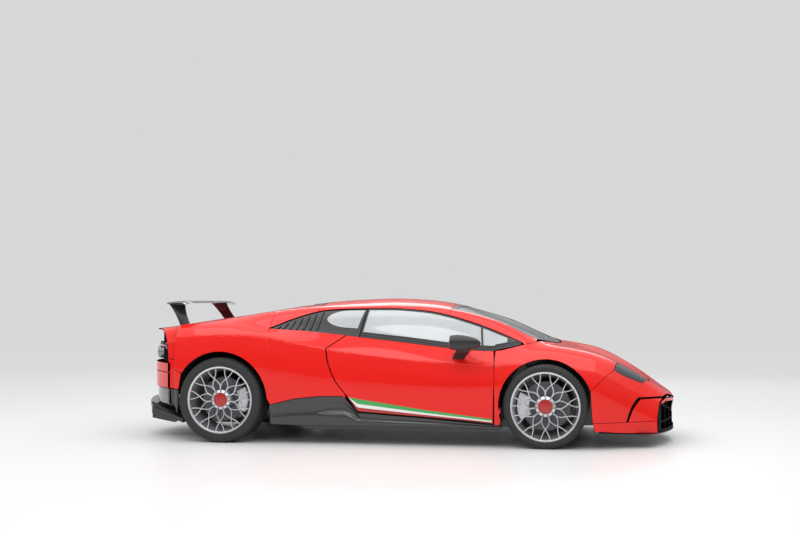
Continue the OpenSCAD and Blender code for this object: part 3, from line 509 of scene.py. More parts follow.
along_pane = np.linspace(0, 1, 110)
borders = [plate(pane_strip(along_pane, 0.0, pane_share(along_pane, SILL_BAND)), 3, 0.5),
           plate(pane_strip(along_pane, pane_share(along_pane, -TOP_BAND), 1.0, 2), 3, 0.5),
           plate(pane_strip(np.linspace(0, 0.011, 4), 0.0, 1.0, 14), 3, 0.8),
           plate(pane_strip(np.linspace(0.912, 1, 12), 0.0, 1.0, 8), 3, 0.6)]
for sill_line in (20, 40):
    lip = pane_share(along_pane, sill_line)
    borders.append(plate(pane_strip(along_pane, lip, pane_share(along_pane, sill_line + 5), 2), 5, 3.2, 1.0))
up = np.linspace(0, 1, 14)
post_line = np.stack([0.762 - 0.022 * up, 0.762 - 0.022 * up + 0.012], 0)
borders.append(plate(pane_point(post_line, up[None]), 3, 1.0))
for side, label in SIDES:
    body = "door_" + label
    panel("side_window_" + label, [plate(pane_strip(along_pane, 0.0, 1.0, 14), 4.2, -3, 0.6)], GLASS, body,
          ["door_glass_" + label], (side,))
    panel("window_border_" + label, borders, BLACK, body, (), (side,))

# ---- quarter window: a short pane, then the black engine intake behind it; toward the rear tip the black panel is also painted shade, over what is a recessed red surface
grid = patch(along(belt, np.linspace(-928, -188, 70), 0.004),
             along(glass_top, np.linspace(-928, -144, 70), -0.006), 70, 12)
# Black panel of the intake; near its rear tip it is painted shade standing for a recessed red surface in
# shadow.
panel("quarter_panel", [plate(grid, 5, -8)], BLACK, nodes=["quarter_glass"])
s = np.linspace(-468, -204, 40)
length = (s - s[0]) / (s[-1] - s[0])
round_off = np.sqrt(1 - (1 - np.clip(length / 0.6, 0.004, 1)) ** 2)
low_s, high_s = s, s + 44 * length
waist, crown_line = belt(low_s), glass_top(high_s)
middle = waist * 0.4 + crown_line * 0.6
lo = middle + (waist * 0.72 + crown_line * 0.28 - middle) * round_off
hi = middle + (waist * 0.06 + crown_line * 0.94 - middle) * round_off
grid = patch(pairs(low_s, lo), pairs(high_s, hi), 40, 10)
panel("quarter_window", [plate(grid, 4, -4.5)], GLASS)
blades = []
for k in range(7):
    a = -884 + 56 * k
    base = belt(a) + 0.02 + (glass_top(a) - belt(a)) * 0.1
    cap = glass_top(a) - 0.02
    run = pairs(np.linspace(a, a + 30, 8), np.linspace(base, max(cap, base + 0.01), 8))
    blades.append(plate(patch(run, run + (16, 0.0), 8, 2), 7, 0.0, 1.2))
panel("quarter_blades", blades, BLACK)

# ---- fixed panels
FENDER = 912


def by_share(low, high, cols):
    """Grid between two lists matched point for point, as the panels are drawn."""
    low, high = np.array(low, float), np.array(high, float)
    v = np.linspace(0, 1, cols + 1)[None, :, None]
    return low[:, None] * (1 - v) + high[:, None] * v


def fitted(low_runs, high_runs, counts, rows):
    """Grid whose lower and upper edges are cut in runs that face each other."""
    low = np.concatenate([spread(r, c) for r, c in zip(low_runs, counts)])
    high = np.concatenate([spread(r, c) for r, c in zip(high_runs, counts)])
    keep = np.r_[True, np.linalg.norm(np.diff(low, axis=0) * (1, 100), axis=1) > 0.05]
    return by_share(low[keep], high[keep], rows)


fender_low = [split(along(skirt_top, [FENDER, 950], 0.01)), arch(*FRONT_ARCH, 198, 120, 40),
              arch(*FRONT_ARCH, 119.5, 60, 40), arch(*FRONT_ARCH, 59.5, 20, 30),
              along(bumper_top, np.linspace(1656, 1905, 12), 0.004)]
at_belt = [along(belt, np.linspace(*run), -0.02)
           for run in ((FENDER, 935, 4), (940, 1200, 30), (1206, 1234, 4))]
at_lid = [along(lid_side, np.linspace(*run))
          for run in ((1245, 1480, 30), (1485, 1680, 20), (1685, 1905, 14))]
fender_high = at_belt[:2] + [split(at_belt[2], at_lid[0])] + at_lid[1:]
grid = fitted(fender_low, fender_high, [5, 40, 40, 24, 16], 30)
panel("front_fender_panels", [plate(grid, 9)], RED, nodes=["front_fenders"])

SEAM_AHEAD = 6.5
quarter_low = [along(skirt_top, np.linspace(-276, -895, 26), 0.012), arch(*REAR_ARCH, 3, 60, 30),
               arch(*REAR_ARCH, 61, 120, 30), arch(*REAR_ARCH, 121, 146, 16),
               on([[-1660, 566], [-1750, 590], [-1880, 625], [-2000, 652], [-2119, 675]])]
quarter_high = [along(belt, np.linspace(-298, -931, 26), -0.004)] + [
    pairs(np.linspace(a, b, 20), COVER_SIDE - COVER_GAP)
    for a, b in ((-934, -1130), (-1134, -1480), (-1484, -1600), (-1604, -2119))]
grid = fitted(quarter_low, quarter_high, [32, 36, 36, 18, 30], 40)
front = spread(rear_cut, 41) - (SEAM_AHEAD, 0)
front[0, 1], front[-1, 1] = grid[0, 0, 1], grid[0, -1, 1]
weight = np.clip(1 - np.arange(len(grid)) / 24, 0, 1)[:, None, None] ** 1.5
grid = grid + weight * (front[None] - grid[0][None])
panel("rear_quarter_panels", [plate(grid, 9)], RED, nodes=["rear_quarters"])

roof_s = np.linspace(-554, 530, 70)
rail = np.linspace(-930, -554.5, 40)
post = np.linspace(530.5, 1228, 60)
post_low = pairs(post, np.where(post < 1131, glass_top(post), belt(post)))
rails = [plate(patch(along(glass_top, rail), pairs(rail, COVER_SIDE - COVER_GAP), 40, 10), 12),
         plate(patch(post_low, along(screen_side, post, -0.002), 60, 8), 14)]
panel("roof_panel", rails, RED, nodes=["roof"],
      whole=[plate(patch(*over(roof_s, glass_top(roof_s)), 70, 60), 12)])


def crowned(grid, ahead):
    """Moves the middle of each cross line `ahead` along the car."""
    v = np.linspace(0, 1, grid.shape[1])
    grid[..., 0] += ahead[:, None] * (4 * v * (1 - v))
    return grid


screen_s = np.linspace(532, 1230, 60)
grid = crowned(by_share(*over(screen_s, screen_side(screen_s)), 50), 150 * np.linspace(0, 1, 60) ** 2)
panel("windscreen_glass", (), GLASS, nodes=["windscreen"],
      whole=[plate(grid, 5, -2, 0.6)])
panel("windscreen_border", (), BLACK,
      whole=[plate(g, 2, 0.4, 0.3) for g in (grid[:, :3], grid[:, -3:], grid[:5], grid[-6:])])
deck = np.linspace(-2119, -1386, 50)
panel("rear_deck_panel", (), RED, nodes=["rear_deck"],
      whole=[plate(patch(*over(deck, COVER_SIDE - COVER_GAP + 0.002), 50, 40), 9)])

# ---- lids
LID_REAR, LID_NOSE = 1242, 2120
lid = np.r_[LID_REAR, 1275, np.linspace(1330, LID_NOSE, 50)]
grid = crowned(by_share(*over(lid, lid_side(lid) + COVER_GAP), 60),
               150 * (LID_NOSE - lid) / (LID_NOSE - LID_REAR))


def pressed(grid, lift, thick=9, edge=2.0):
    """Plate whose skin is moved along its normal by `lift`, with normals found from the new shape."""
    s, t = grid[..., 0], grid[..., 1]
    out = skin(s, t) + skin_normal(s, t) * lift[..., None]
    n = np.cross(np.gradient(out, axis=0), np.gradient(out, axis=1))
    n /= np.linalg.norm(n, axis=-1, keepdims=True)
    if np.sum(n * skin_normal(s, t)) < 0:
        n = -n
    return shell(out, n, thick, edge)


share = np.linspace(0, 1, len(lid))
fade = (ease(share * 4) * ease((1 - share) * 4))[:, None]
across = np.linspace(0, 1, grid.shape[1])
hollows = sum(depth * np.clip(1 - np.abs(across - at) / half, 0, 1) ** 1.5
              for at, half, depth in ((0.2, 0.1, -7), (0.8, 0.1, -7), (0.33, 0.05, -4), (0.67, 0.05, -4)))
panel("front_lid_panel", (), RED, "front_lid", nodes=["front_lid"], whole=[pressed(grid, hollows * fade, 18)])
grid = patch(*over(np.linspace(-1380, -566, 70), COVER_SIDE + 0.004), 70, 40)
panel("engine_cover_base", (), CARBON, "engine_cover", ["engine_cover"],
      whole=[plate(grid, 16, -7)])
louvres = [plate(g, 7) for g in (grid[:, :5], grid[:, -5:], grid[:6], grid[-6:])]
louvres.append(plate(grid[:, 19:22], 7, -0.3))
for a in range(10, 65, 11):
    for half in (grid[a:a + 7, 4:20], grid[a:a + 7, 21:-4]):
        s, t = half[..., 0], half[..., 1]
        tip = np.linspace(1, 0, len(half))[:, None, None]
        n = skin_normal(s, t)
        louvres.append(shell(skin(s, t) - n * 6 * tip, n, 3, 0.8))
panel("engine_cover_louvres", (), CARBON, "engine_cover", whole=louvres)


# ---- solids made of points
def mesh_piece(name, parts, mat, body="body", angle=35, nodes=()):
    """Object from (points in mm, faces) parts; edges folded past `angle` stay sharp."""
    verts, faces, count = [], [], 0
    for v, f in parts:
        verts.append(np.asarray(v, float))
        faces += [tuple(np.asarray(q) + count) for q in f]
        count += len(v)
    obj = piece(name, xyz(np.concatenate(verts)), faces, mat, body)
    obj.data.set_sharp_from_angle(angle=math.radians(angle))
    if nodes:
        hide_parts(*nodes)
    return obj


def flipped(part):
    v, f = part
    return np.array(v, float) * (1, -1, 1), [tuple(q)[::-1] for q in f]


def both(parts):
    return list(parts) + [flipped(p) for p in parts]


def facing(side, parts):
    """Parts drawn on the left, for the left (1) or the right (-1)."""
    return parts if side > 0 else [flipped(p) for p in parts]


def stepped(path, n):
    """n points along a broken line, the same number between its corners."""
    p = np.array(path, float)
    at = np.linspace(0, len(p) - 1, n)
    return np.stack([np.interp(at, range(len(p)), p[:, k]) for k in range(3)], -1)


def tube(n, m, wrap=False):
    """Faces of n closed rings of m points."""
    first = np.arange(n if wrap else n - 1) * m
    ahead = (first + m) % (n * m)
    closing = np.stack([first + m - 1, first, ahead, ahead + m - 1], -1)
    return [tuple(q) for q in np.concatenate([quads(n, m, wrap=wrap), closing])]


def loft(rings):
    """Closed solid through rings of points, shaped (rings, points, 3)."""
    rings = np.asarray(rings, float)
    n, m = rings.shape[:2]
    faces = tube(n, m) + [tuple(range(m)), tuple(range((n - 1) * m, n * m))[::-1]]
    v = rings.reshape(-1, 3)
    mid = rings.mean(1)
    out = 0
    for q in faces[: (n - 1) * (m - 1)]:
        c = v[list(q)].mean(0)
        out += np.dot(np.cross(v[q[1]] - v[q[0]], v[q[2]] - v[q[1]]), c - mid[q[0] // m])
    if out < 0:
        faces = [q[::-1] for q in faces]
    return v, faces


def rod(path, width, height=None, up=(0, 0, 1), corner=0.3, sides=8):
    """Bar of rounded section along a path; width and height may change along it."""
    p = np.asarray(path, float)
    run = np.gradient(p, axis=0)
    run /= np.linalg.norm(run, axis=1, keepdims=True)
    across = np.cross(run, up)
    across /= np.linalg.norm(across, axis=1, keepdims=True) + 1e-9
    top = np.cross(across, run)
    w = np.broadcast_to(np.asarray(width, float), len(p))[:, None, None] / 2
    h = w if height is None else np.broadcast_to(np.asarray(height, float), len(p))[:, None, None] / 2
    k = 1 - corner
    if sides == 8:
        ring = np.array([[1, -k], [1, k], [k, 1], [-k, 1], [-1, k], [-1, -k], [-k, -1], [k, -1]])
    else:
        a = np.linspace(0, 2 * math.pi, sides, endpoint=False)
        ring = np.stack([np.cos(a), np.sin(a)], -1)
    return loft(p[:, None] + across[:, None] * ring[None, :, :1] * w + top[:, None] * ring[None, :, 1:] * h)


def spun(r, a, h):
    """Points at radius r and angle a (radians) round a wheel's axle, h out along it."""
    return np.stack(np.broadcast_arrays(r * np.cos(a), h, r * np.sin(a)), -1)


def lathe(profile, n=96, a0=0.0, a1=360.0):
    """Points of (radius, height) turned round a wheel's axle; the profile is a closed loop."""
    p = np.asarray(profile, float)
    whole = abs(a1 - a0) >= 360
    a = np.radians(np.linspace(a0, a1, n, endpoint=not whole))
    v = spun(p[:, 0], a[:, None], p[:, 1])
    m = len(p)
    faces = tube(n, m, whole)
    if not whole:
        faces += [tuple(range(m))[::-1], tuple(range((n - 1) * m, n * m))]
    area = np.sum(p[:, 0] * np.roll(p[:, 1], -1) - np.roll(p[:, 0], -1) * p[:, 1])
    return v.reshape(-1, 3), faces if area > 0 else [f[::-1] for f in faces]


def placed(part, centre, side):
    """Moves a wheel part to its wheel; `side` -1 turns it to face the right."""
    v, f = part
    v = np.array(v, float) * (1, side, 1) + centre
    return v, (f if side > 0 else [tuple(q)[::-1] for q in f])


def block(x, y, z, r=1.5):
    """Box with chamfered edges."""
    lo, hi = np.array([x[0], y[0], z[0]], float), np.array([x[1], y[1], z[1]], float)
    rings = []
    for at, inset in ((lo[2], r), (lo[2] + r, 0), (hi[2] - r, 0), (hi[2], r)):
        a, b = lo[:2] + inset, hi[:2] - inset
        rings.append([[a[0] + r, a[1], at], [b[0] - r, a[1], at], [b[0], a[1] + r, at], [b[0], b[1] - r, at],
                      [b[0] - r, b[1], at], [a[0] + r, b[1], at], [a[0], b[1] - r, at], [a[0], a[1] + r, at]])
    return loft(rings)


# ---- wheels
SEAT = 254
SPOKES = 11
WHEELS = [("front", FRONT_X, 833.5, FRONT_Z, 245, 190), ("rear", REAR_X, 803.5, REAR_Z, 305, 178)]


def tyre_parts(radius, width):
    half = width / 2
    wall = [(SEAT + r, half - h) for r, h in ((0.5, 15), (3, 11), (12, 6.5), (22, 2.4), (24, 1.2), (30, 0.9),
                                              (31, 1.9), (44, 0.3))]
    wall += [(radius - r, half - h) for r, h in ((27, 0.3), (21, 3), (15, 6.5), (8, 13), (3, 22))]
    flat = np.linspace(half - 28, -half + 28, 40 if width < 270 else 50)
    crown = [(radius - 1.2 * abs(h / (half - 28)) ** 2, h) for h in flat]
    back = [(r, -h) for r, h in wall[::-1]]
    profile = np.array(wall + crown + back)
    n = 420
    a = np.linspace(0, 2 * math.pi, n, endpoint=False)
    r = np.broadcast_to(profile[None, :, 0], (n, len(profile))).copy()
    h = np.broadcast_to(profile[None, :, 1], r.shape)
    tread = np.abs(h) < half - 20
    ring = np.zeros_like(r, bool)
    for at in (-0.31, -0.11, 0.11, 0.31):
        ring |= np.abs(h - at * width) < 4.2
    turn = np.degrees(a)[:, None]
    slant = (turn + h * 0.05 * np.sign(h) + np.where(h > 0, 2.5, 0)) % 6.0
    cut = (slant < 0.9) & (np.abs(h) > 0.13 * width) & (np.abs(h) < half - 12)
    r = r - np.where((tread & ring) | cut, 5.0, 0)
    return spun(r, a[:, None], h).reshape(-1, 3), [q[::-1] for q in tube(n, len(profile), True)]


def rim_parts_of(face):
    top = face - 4
    barrel = [(r, face + h) for r, h in ((248, -36), (251, -4), (254, 3), (258, 8.5), (262, 10), (269.5, 10),
                                         (271, 8.5), (268, 6), (SEAT + 1.5, -1), (SEAT - 0.4, -8))]
    barrel += [(r, h - face) for r, h in ((SEAT - 0.4, 0), (271, -8), (270, -10), (250, -9), (246, 0),
                                          (232, 30))]
    parts = [lathe(barrel + [(230, face - 80), (244, face - 44)], 128)]
    r = np.concatenate([np.linspace(56, 110, 5), np.linspace(118, 253, 18)])
    height = top - 13 * (1 - ease((r - 50) / 170))
    wide = np.interp(r, [56, 100, 125, 250], [16, 11, 8.5, 9])
    fan = np.interp(r, [50, 100, 118, 135, 155, 175, 200, 225, 252],
                    [0, 0, 1.5, 5.2, 10.8, 16.36, 20.9, 23.3, 24.3])
    for k in range(SPOKES):
        for fork in (-1, 1):
            path = spun(r, np.radians(90 + 360 * k / SPOKES + fork * fan), height - 12)
            parts.append(rod(path, wide, 24, up=(0, 1, 0), corner=0.34))
    parts.append(lathe([(56, 42), (84, 42), (84, top - 34), (78, top - 22), (66, top - 16), (58, top - 13),
                        (56, top - 16)], 72))
    return parts


def cap_parts(face):
    top = face - 4
    dome = ((0.5, 30), (57, 30), (57, 14), (53, 9), (44, 8), (43, 10.5), (30, 9.5), (12, 8.6), (0.5, 8.4))
    return [lathe([(r, top - drop) for r, drop in dome], 64)]


def disc_parts(big):
    hat = [(60, 29.6), (60, 16), (84, 16), (84, 10), (98, 10), (98, -12), (big, -12), (big, -2.5),
           (big - 12, -2.5), (big - 12, 12.5), (big, 12.5), (big, 22), (104, 22), (104, 23), (84, 23),
           (84, 24), (66, 24), (66, 29.6)]
    parts = [lathe(hat)]
    for k in range(36):
        a = math.radians(10 * k)
        parts.append(rod([spun(100, a, 5), spun(big - 3, a + 0.12, 5)], 5, 15.5, up=(0, 1, 0)))
    return parts


def drill_hole_shade_parts(big):
    # Black dots just proud of the disc face, where drilled holes would be: painted shade of the holes, none
    # are cut.
    parts = []
    for k in range(16):
        for i in range(5):
            a = math.radians(22.5 * k + 5.2 * i)
            r = 112 + (big - 120) * i / 4
            parts.append(rod([spun(r, a, 20), spun(r, a, 22.3)], 7, sides=10))
    return parts


def caliper_parts(big, way):
    """Cover over a caliper, with piston bosses and a rib; `way` is the side of the axle it is on."""
    mid = 0 if way > 0 else 180
    outer = big + 33
    profile = [(128, 46), (132, 52), (140, 54.5), (outer - 8, 54.5), (outer - 1, 50), (outer, 40),
               (outer, 28), (outer - 3.5, 26), (big + 5.5, 26), (big + 5.5, 29.5), (128, 29.5)]
    parts = [lathe(profile, 40, mid - 29, mid + 29)]
    for turn in (-19, 0, 19):
        low, knee, top, nut = (spun(big - 22, math.radians(mid + turn), h) for h in (50, 56, 58, 60))
        parts.append(rod([low, knee, top], [38, 37, 32], sides=28))
        parts.append(rod([low, nut], [12, 10], sides=6))
    rib = [(outer - 12, 54), (outer - 12, 58), (outer - 22, 58), (outer - 22, 54)]
    return parts + [lathe(rib, 40, mid - 26, mid + 26)]


for axle, wx, wy, wz, width, big in WHEELS:
    face = width / 2 - 13.8
    front = axle == "front"
    at = spun(232, math.radians(270), face - 14)
    valve = rod([at, at + (0, 16, 3), at + (0, 20, 4)], [7, 7, 5], up=(1, 0, 0), sides=10)
    made = [("tyre_tread_", [tyre_parts(wz, width)], RUBBER, "tyre_rubber", 30, "tyre_"),
            ("rim_forked_", rim_parts_of(face), SILVER, "rim_silver", 32, "rim_"),
            ("rim_cap_", cap_parts(face), CAP_RED, "rim_silver", 40, ""),
            ("disc_vented_", disc_parts(big), IRON, "disc_iron", 35, "brake_disc_"),
            # the drilled holes are black dots on the disc face, painted shade rather than cut holes
            ("disc_drill_hole_shade_", drill_hole_shade_parts(big), MESH, "disc_iron", 35, ""),
            ("caliper_", caliper_parts(big, -1 if front else 1), CALIPER, "chassis_metal", 35, ""),
            ("valve_", [valve], BLACK, "rim_silver", 35, "")]
    for side, label in SIDES:
        end = f"{axle}_{label}"
        carrier = "knuckle_front_" + label if front else "body"
        for name, parts, mat, slot, angle, node in made:
            body = carrier if name == "caliper_" else "wheel_" + end
            mesh_piece(name + end, [placed(p, (wx, side * wy, wz), side) for p in parts], mat, body,
                       angle, [node + end] if node else [])

# ---- nose and tail
def nose(y, z, back):
    return np.stack(np.broadcast_arrays(NOSE - NOSE_BOW * (y / HALF_W) ** 2 - back, y, z), -1)


def tail(y, z, ahead):
    return np.stack(np.broadcast_arrays(TAIL + TAIL_BOW * (y / HALF_W) ** 2 + ahead, y, z), -1)


def face_plate(where, ys, lows, highs, depth, thick, edge=1.6, lean=0.0):
    """Plate on the nose or tail face between two heights; `lean` moves its foot back."""
    v = np.linspace(0, 1, 9)[None]
    low, high = (np.broadcast_to(h, ys.shape).astype(float)[:, None] for h in (lows, highs))
    out = where(ys[:, None], low * (1 - v) + high * v, depth + lean * (1 - v))
    n = np.cross(np.gradient(out, axis=0), np.gradient(out, axis=1))
    n /= np.linalg.norm(n, axis=-1, keepdims=True)
    if n[..., 0].mean() * (1 if where is nose else -1) < 0:
        n = -n
    return shell(out, n, thick, edge)


def mouth_top(y):
    return np.interp(np.abs(y), [0, 250, 470, 560, 598, 632, 645], [352, 372, 382, 362, 345, 270, 190])


def tail_top(y):
    return np.interp(np.abs(y), [0, 420, 690, 740, 790], [890, 897, 880, 830, 760])


def bumper_edge(s):
    return np.where(s <= 1905, bumper_top(s), np.where(s <= 2186, lamp_low(s), lid_side(s) - 0.003))


def level(a, b, z, n=30):
    """Run along the side at one height."""
    run = np.linspace(a, b, n)
    return pairs(run, line_of(run, z))


def bumper_run(a, b):
    run = np.linspace(a, b, 30)
    return pairs(run, bumper_edge(run))


fin_low = Edge([[1656, 205], [2319, 205]], smooth=False)
SLOT_Z, SLOT_W = 392, 13
band = np.linspace(2126.5, 2319, 24)
foot = patch(pairs(np.linspace(1686, 2319, 60), 0), along(fin_low, np.linspace(1672, 2319, 60)), 60, 8)
cheek = fitted([along(fin_low, np.linspace(1672, 2100, 40), 0.004),
                split([[2101, fin_low(2101) + 0.004]], level(2188, 2190, SLOT_Z, 2)),
                level(2192, 2319, SLOT_Z)],
               [bumper_run(1656, 2140), bumper_run(2142, 2190), bumper_run(2192, 2319)], [60, 18, 28], 26)
chin = patch(along(fin_low, np.linspace(2120, 2319, 30), 0.004), level(2208, 2319, SLOT_Z - SLOT_W), 30, 18)
panel("front_bumper_panels", [plate(g, 9) for g in (foot, cheek, chin)], RED, nodes=["front_bumper"],
      whole=[plate(patch(*over(band, lid_side(band) + 0.003), 24, 60), 9)])
slot = patch(pairs(np.linspace(2085, 2170, 8), 0.9), pairs(np.linspace(2200, 2275, 8), 4.2), 8, 16)
behind_slot = patch(level(2180, 2318, SLOT_Z - 34), level(2180, 2318, SLOT_Z + 22), 30, 4)
panel("bumper_slot_ducts", [plate(slot, 6, -26), plate(behind_slot, 4, -16)], MESH)

ys, beak = np.linspace(-560, 560, 60), np.linspace(-150, 150, 24)
panel("nose_face", (), RED, whole=[
    face_plate(nose, ys, mouth_top(ys) - 34, mouth_top(ys) - 8, 2, 12),
    face_plate(nose, beak, 238 + 0.25 * np.abs(beak), mouth_top(beak) - 30, 4, 26, lean=14)])
fins = [face_plate(nose, np.linspace(-560, 560, 50), 112, 136, 6, 60),
        face_plate(nose, np.linspace(-140, 140, 24), 136, 232, 16, 30)]
for side in (-1, 1):
    post = np.linspace(566, 628, 8) * side
    fins.append(face_plate(nose, post, 118, mouth_top(post) - 4, 4, 12))
    for a, b, low, high in ((175, 545, 250, 328), (190, 540, 205, 190)):
        z = np.linspace(low, high, 20)
        fins.append(face_plate(nose, np.linspace(a, b, 20) * side, z - 7, z + 7, 14, 34))
    for at in (300, 430):
        fins.append(face_plate(nose, np.linspace(at, at + 16, 5) * side, 128, 300, 16, 40))
panel("nose_fins", (), MESH, whole=fins)


def lattice(where, half, top, low, depth, pitch=24, slope=0.9):
    """Diagonal mesh of thin bars behind a face, clipped between `low` and `top(y)`."""
    y = np.linspace(-half, half, 160)
    bars = []
    for way in (-1, 1):
        for foot in np.arange(-half - 400, half + 400, pitch):
            z = low + way * (y - foot) * slope
            keep = (z >= low) & (z <= top(y))
            if keep.sum() > 3:
                bars.append(rod(where(y[keep][::3], z[keep][::3], depth), 2.6, 2.6, up=(1, 0, 0)))
    return bars


ys = np.linspace(-590, 590, 40)
mesh_piece("front_mesh", lattice(nose, 600, lambda y: mouth_top(y) - 18, 130, 44), MESH)
mesh_piece("front_mesh_backing", [face_plate(nose, ys, 130, mouth_top(ys) - 22, 50, 4)[:2]], LINER,
           nodes=["grilles"])
rings = []
for y in np.linspace(-758, 758, 60):
    x = NOSE - 3 - NOSE_BOW * (y / HALF_W) ** 2
    rings.append([[1700, y, 97], [x - 8, y, 97], [x - 1, y, 100], [x, y, 104], [x - 3, y, 108.5],
                  [x - 30, y, 110.5], [1700, y, 111.3]])
mesh_piece("splitter_blade", [loft(rings)], CARBON, nodes=["front_splitter"])

# headlamps: dark housing, lens units and a forked light strip under a clear cover
lamp_s = np.linspace(1909, 2183, 44)
lamp_grid = patch(along(lamp_low, lamp_s, 0.006), along(lid_side, lamp_s, -0.006), 44, 12)
panel("lamp_covers", [plate(lamp_grid, 3, -0.5, 1.0)], CLEAR, nodes=["headlights"])
panel("lamp_housings", [plate(lamp_grid, 4, -22, 0.5)], BLACK)


def lamp_point(s, share, depth):
    """Point in the lamp, `share` of the way up it and `depth` under its cover."""
    t = lamp_low(s) + (lid_side(s) - lamp_low(s)) * share
    return skin(s, t) - skin_normal(s, t) * depth


strips = []
for stations, shares in (((1935, 2050, 2170), (0.6, 0.45, 0.75)), ((2050, 2165), (0.45, 0.2)),
                         ((1935, 1975), (0.6, 0.85))):
    s = np.linspace(stations[0], stations[-1], 20)
    strips.append(rod(lamp_point(s, np.interp(s, stations, shares), 14), 7, 9, corner=0.5))
for s, share in ((2010, 0.62), (2100, 0.55)):
    unit = [lamp_point(s, share, depth) for depth in (22, 14, 10, 9)]
    strips.append(rod(unit, [44, 44, 38, 20], up=(0, 1, 0), sides=24))
mesh_piece("lamp_strips", both(strips), LIGHT)

# ---- tail: bumper sides and face, mesh, lamps, pipes, diffuser
rear_s = np.linspace(-2119, -1640, 50)
top_t = line_of(rear_s, np.interp(rear_s, [-2119, -2000, -1880, -1750, -1640], [673, 650, 623, 588, 561]))
low_s = np.linspace(-2119, -1690, 50)
low_t = np.interp(low_s, [-2119, -1720, -1690], [0.45, 0.45, 0.1])
split_s = rear_s * 0.45 + low_s * 0.55
split_t = line_of(split_s, 425)
upper = patch(pairs(split_s, split_t + 0.012), pairs(rear_s, top_t), 50, 12)
panel("rear_bumper_sides", [plate(upper, 9)], RED, nodes=["rear_bumper"])
lower = patch(pairs(low_s, low_t), pairs(split_s, split_t - 0.012), 50, 10)
panel("rear_bumper_corners", [plate(lower, 9)], CARBON)
beside_plate = np.linspace(250, 836, 30)
panel("rear_bumper_face", (), RED, whole=[
    face_plate(tail, np.linspace(-836, 836, 70), 560, 634, -13, 20),
    face_plate(tail, beside_plate, 428, 556, -12, 18), face_plate(tail, -beside_plate, 428, 556, -12, 18)])
panel("rear_lower_face", (), CARBON,
      whole=[face_plate(tail, np.linspace(-830, 830, 60), 296, 422, 4, 10)])
mesh_piece("plate_recess", [face_plate(tail, np.linspace(-246, 246, 20), 424, 556, 6, 8)[:2]], BLACK)
ys = np.linspace(-730, 730, 40)
mesh_piece("rear_mesh", lattice(tail, 700, tail_top, 646, 52, 26), MESH)
mesh_piece("rear_mesh_backing", [face_plate(tail, ys, 642, tail_top(ys) - 6, 60, 4)[:2]], LINER)
lamp, housings = [], []
for side in (-1, 1):
    lamp.append(face_plate(tail, np.linspace(436, 724, 24) * side, 764, 782, 19, 12, 3))
    for a, b in ((436, 500), (560, 640)):
        for z in (np.linspace(782, 799, 8), np.linspace(764, 746, 8)):
            lamp.append(face_plate(tail, np.linspace(a, b, 8) * side, z - 6, z + 6, 19, 12, 3))
    housings.append(face_plate(tail, np.linspace(428, 732, 24) * side, 742, 803, 30, 14))
panel("tail_lamp_strips", (), LAMP_RED, nodes=["tail_lights"], whole=lamp)
panel("tail_lamp_housings", (), BLACK, whole=housings)
v, f = lathe([(55, 0), (57.5, 4), (58, 10), (57.5, 60), (55.5, 60), (50, 58), (49, 6), (52, 1)], 64)
mesh_piece("tail_pipe_tips", [(v[:, [1, 0, 2]] + (-2136, y, 700), [q[::-1] for q in f]) for y in (-115, 115)],
           METAL)
blades = []
for y in (-530, -420, -318, -215, 215, 318, 420, 530):
    out = TAIL + TAIL_BOW * (y / HALF_W) ** 2 - 52
    blades.append(loft([[[-1800, y - w, 139], [-1830, y - w, 121], [out + 60, y - w, 172], [out, y - w, 205],
                         [out, y - w, 285], [-1800, y - w, 165]] for w in (-4, 4)]))
mesh_piece("diffuser_blades", blades, CARBON)

# ---- door trim: a card on the inside with an armrest and a pull
inner_low = along(door_low, np.linspace(-225, 862, 50), 0.16)
inner_high = along(belt, np.linspace(-250, 862, 50), -0.1)
inner_rear = split([inner_low[0]], on([[-340, 579], [-380, 760]]), [inner_high[0]])
card = plate(patch(inner_low, inner_high, 60, 20, inner_rear), 12, -33, 4.0)
rest_s = np.linspace(20, 620, 26)
rest_t = line_of(rest_s, 560)
grip_s, grip_t = rest_s[14:24], rest_t[14:24] + 0.5
rests = [rod(skin(rest_s, rest_t) - skin_normal(rest_s, rest_t) * 60, 58, 44, corner=0.5),
         rod(skin(grip_s, grip_t) - skin_normal(grip_s, grip_t) * 58, 16, 30, corner=0.5)]
for side, label in SIDES:
    body = "door_" + label
    panel("door_card_" + label, [card], TRIM, body, (), (side,))
    mesh_piece("door_armrest_" + label, facing(side, rests), CLOTH, body)


# ---- linings that close each wheel arch behind its panel's edge
def lining(low, high, cols, toward):
    """Thin wall between two runs of points, its face turned `toward`."""
    grid = by_share(low, high, cols)
    toward = np.broadcast_to(toward, grid.shape)
    if np.sum(np.cross(np.gradient(grid, axis=0), np.gradient(grid, axis=1)) * toward) < 0:
        grid, toward = grid[::-1], toward[::-1]
    return shell(grid, toward, 3, 0.8)


linings = []
for axle, radius, centre_z, first, last in ((FRONT_X, 368, FRONT_Z, -9, 200), (REAR_X, 392, REAR_Z, -2, 150)):
    a = np.radians(np.linspace(first, last, 70))
    s = axle + radius * np.cos(a)
    edge = skin(s, line_of(s, centre_z + radius * np.sin(a)))
    foot = edge * (1, 0, 1) + (0, 770, 0)
    linings.append(lining(edge - (0, 9, 0), foot, 6, -np.stack([np.cos(a), 0 * a, np.sin(a)], -1)[:, None]))
a = np.radians(np.linspace(163, 17, 60))
arc = np.stack([REAR_X + 391 * np.cos(a), 0 * a + 444, REAR_Z + 391 * np.sin(a)], -1)
linings.append(lining(arc * (1, 1, 0) + (0, 0, REAR_Z + 113), arc, 4, (0, 1, 0)))
z = np.linspace(112.5, 291, 9)
wall_x = FRONT_X + 369
reach = skin(wall_x, line_of(wall_x, np.maximum(z, 230)))[:, 1] - 30 - np.maximum(0, 200 - z) * 0.6
inner, outer = (np.stack(np.broadcast_arrays(wall_x, y, z), -1) for y in (503, reach))
linings.append(lining(inner, outer, 11, (1, 0, 0)))
panel("arch_linings", linings, LINER)

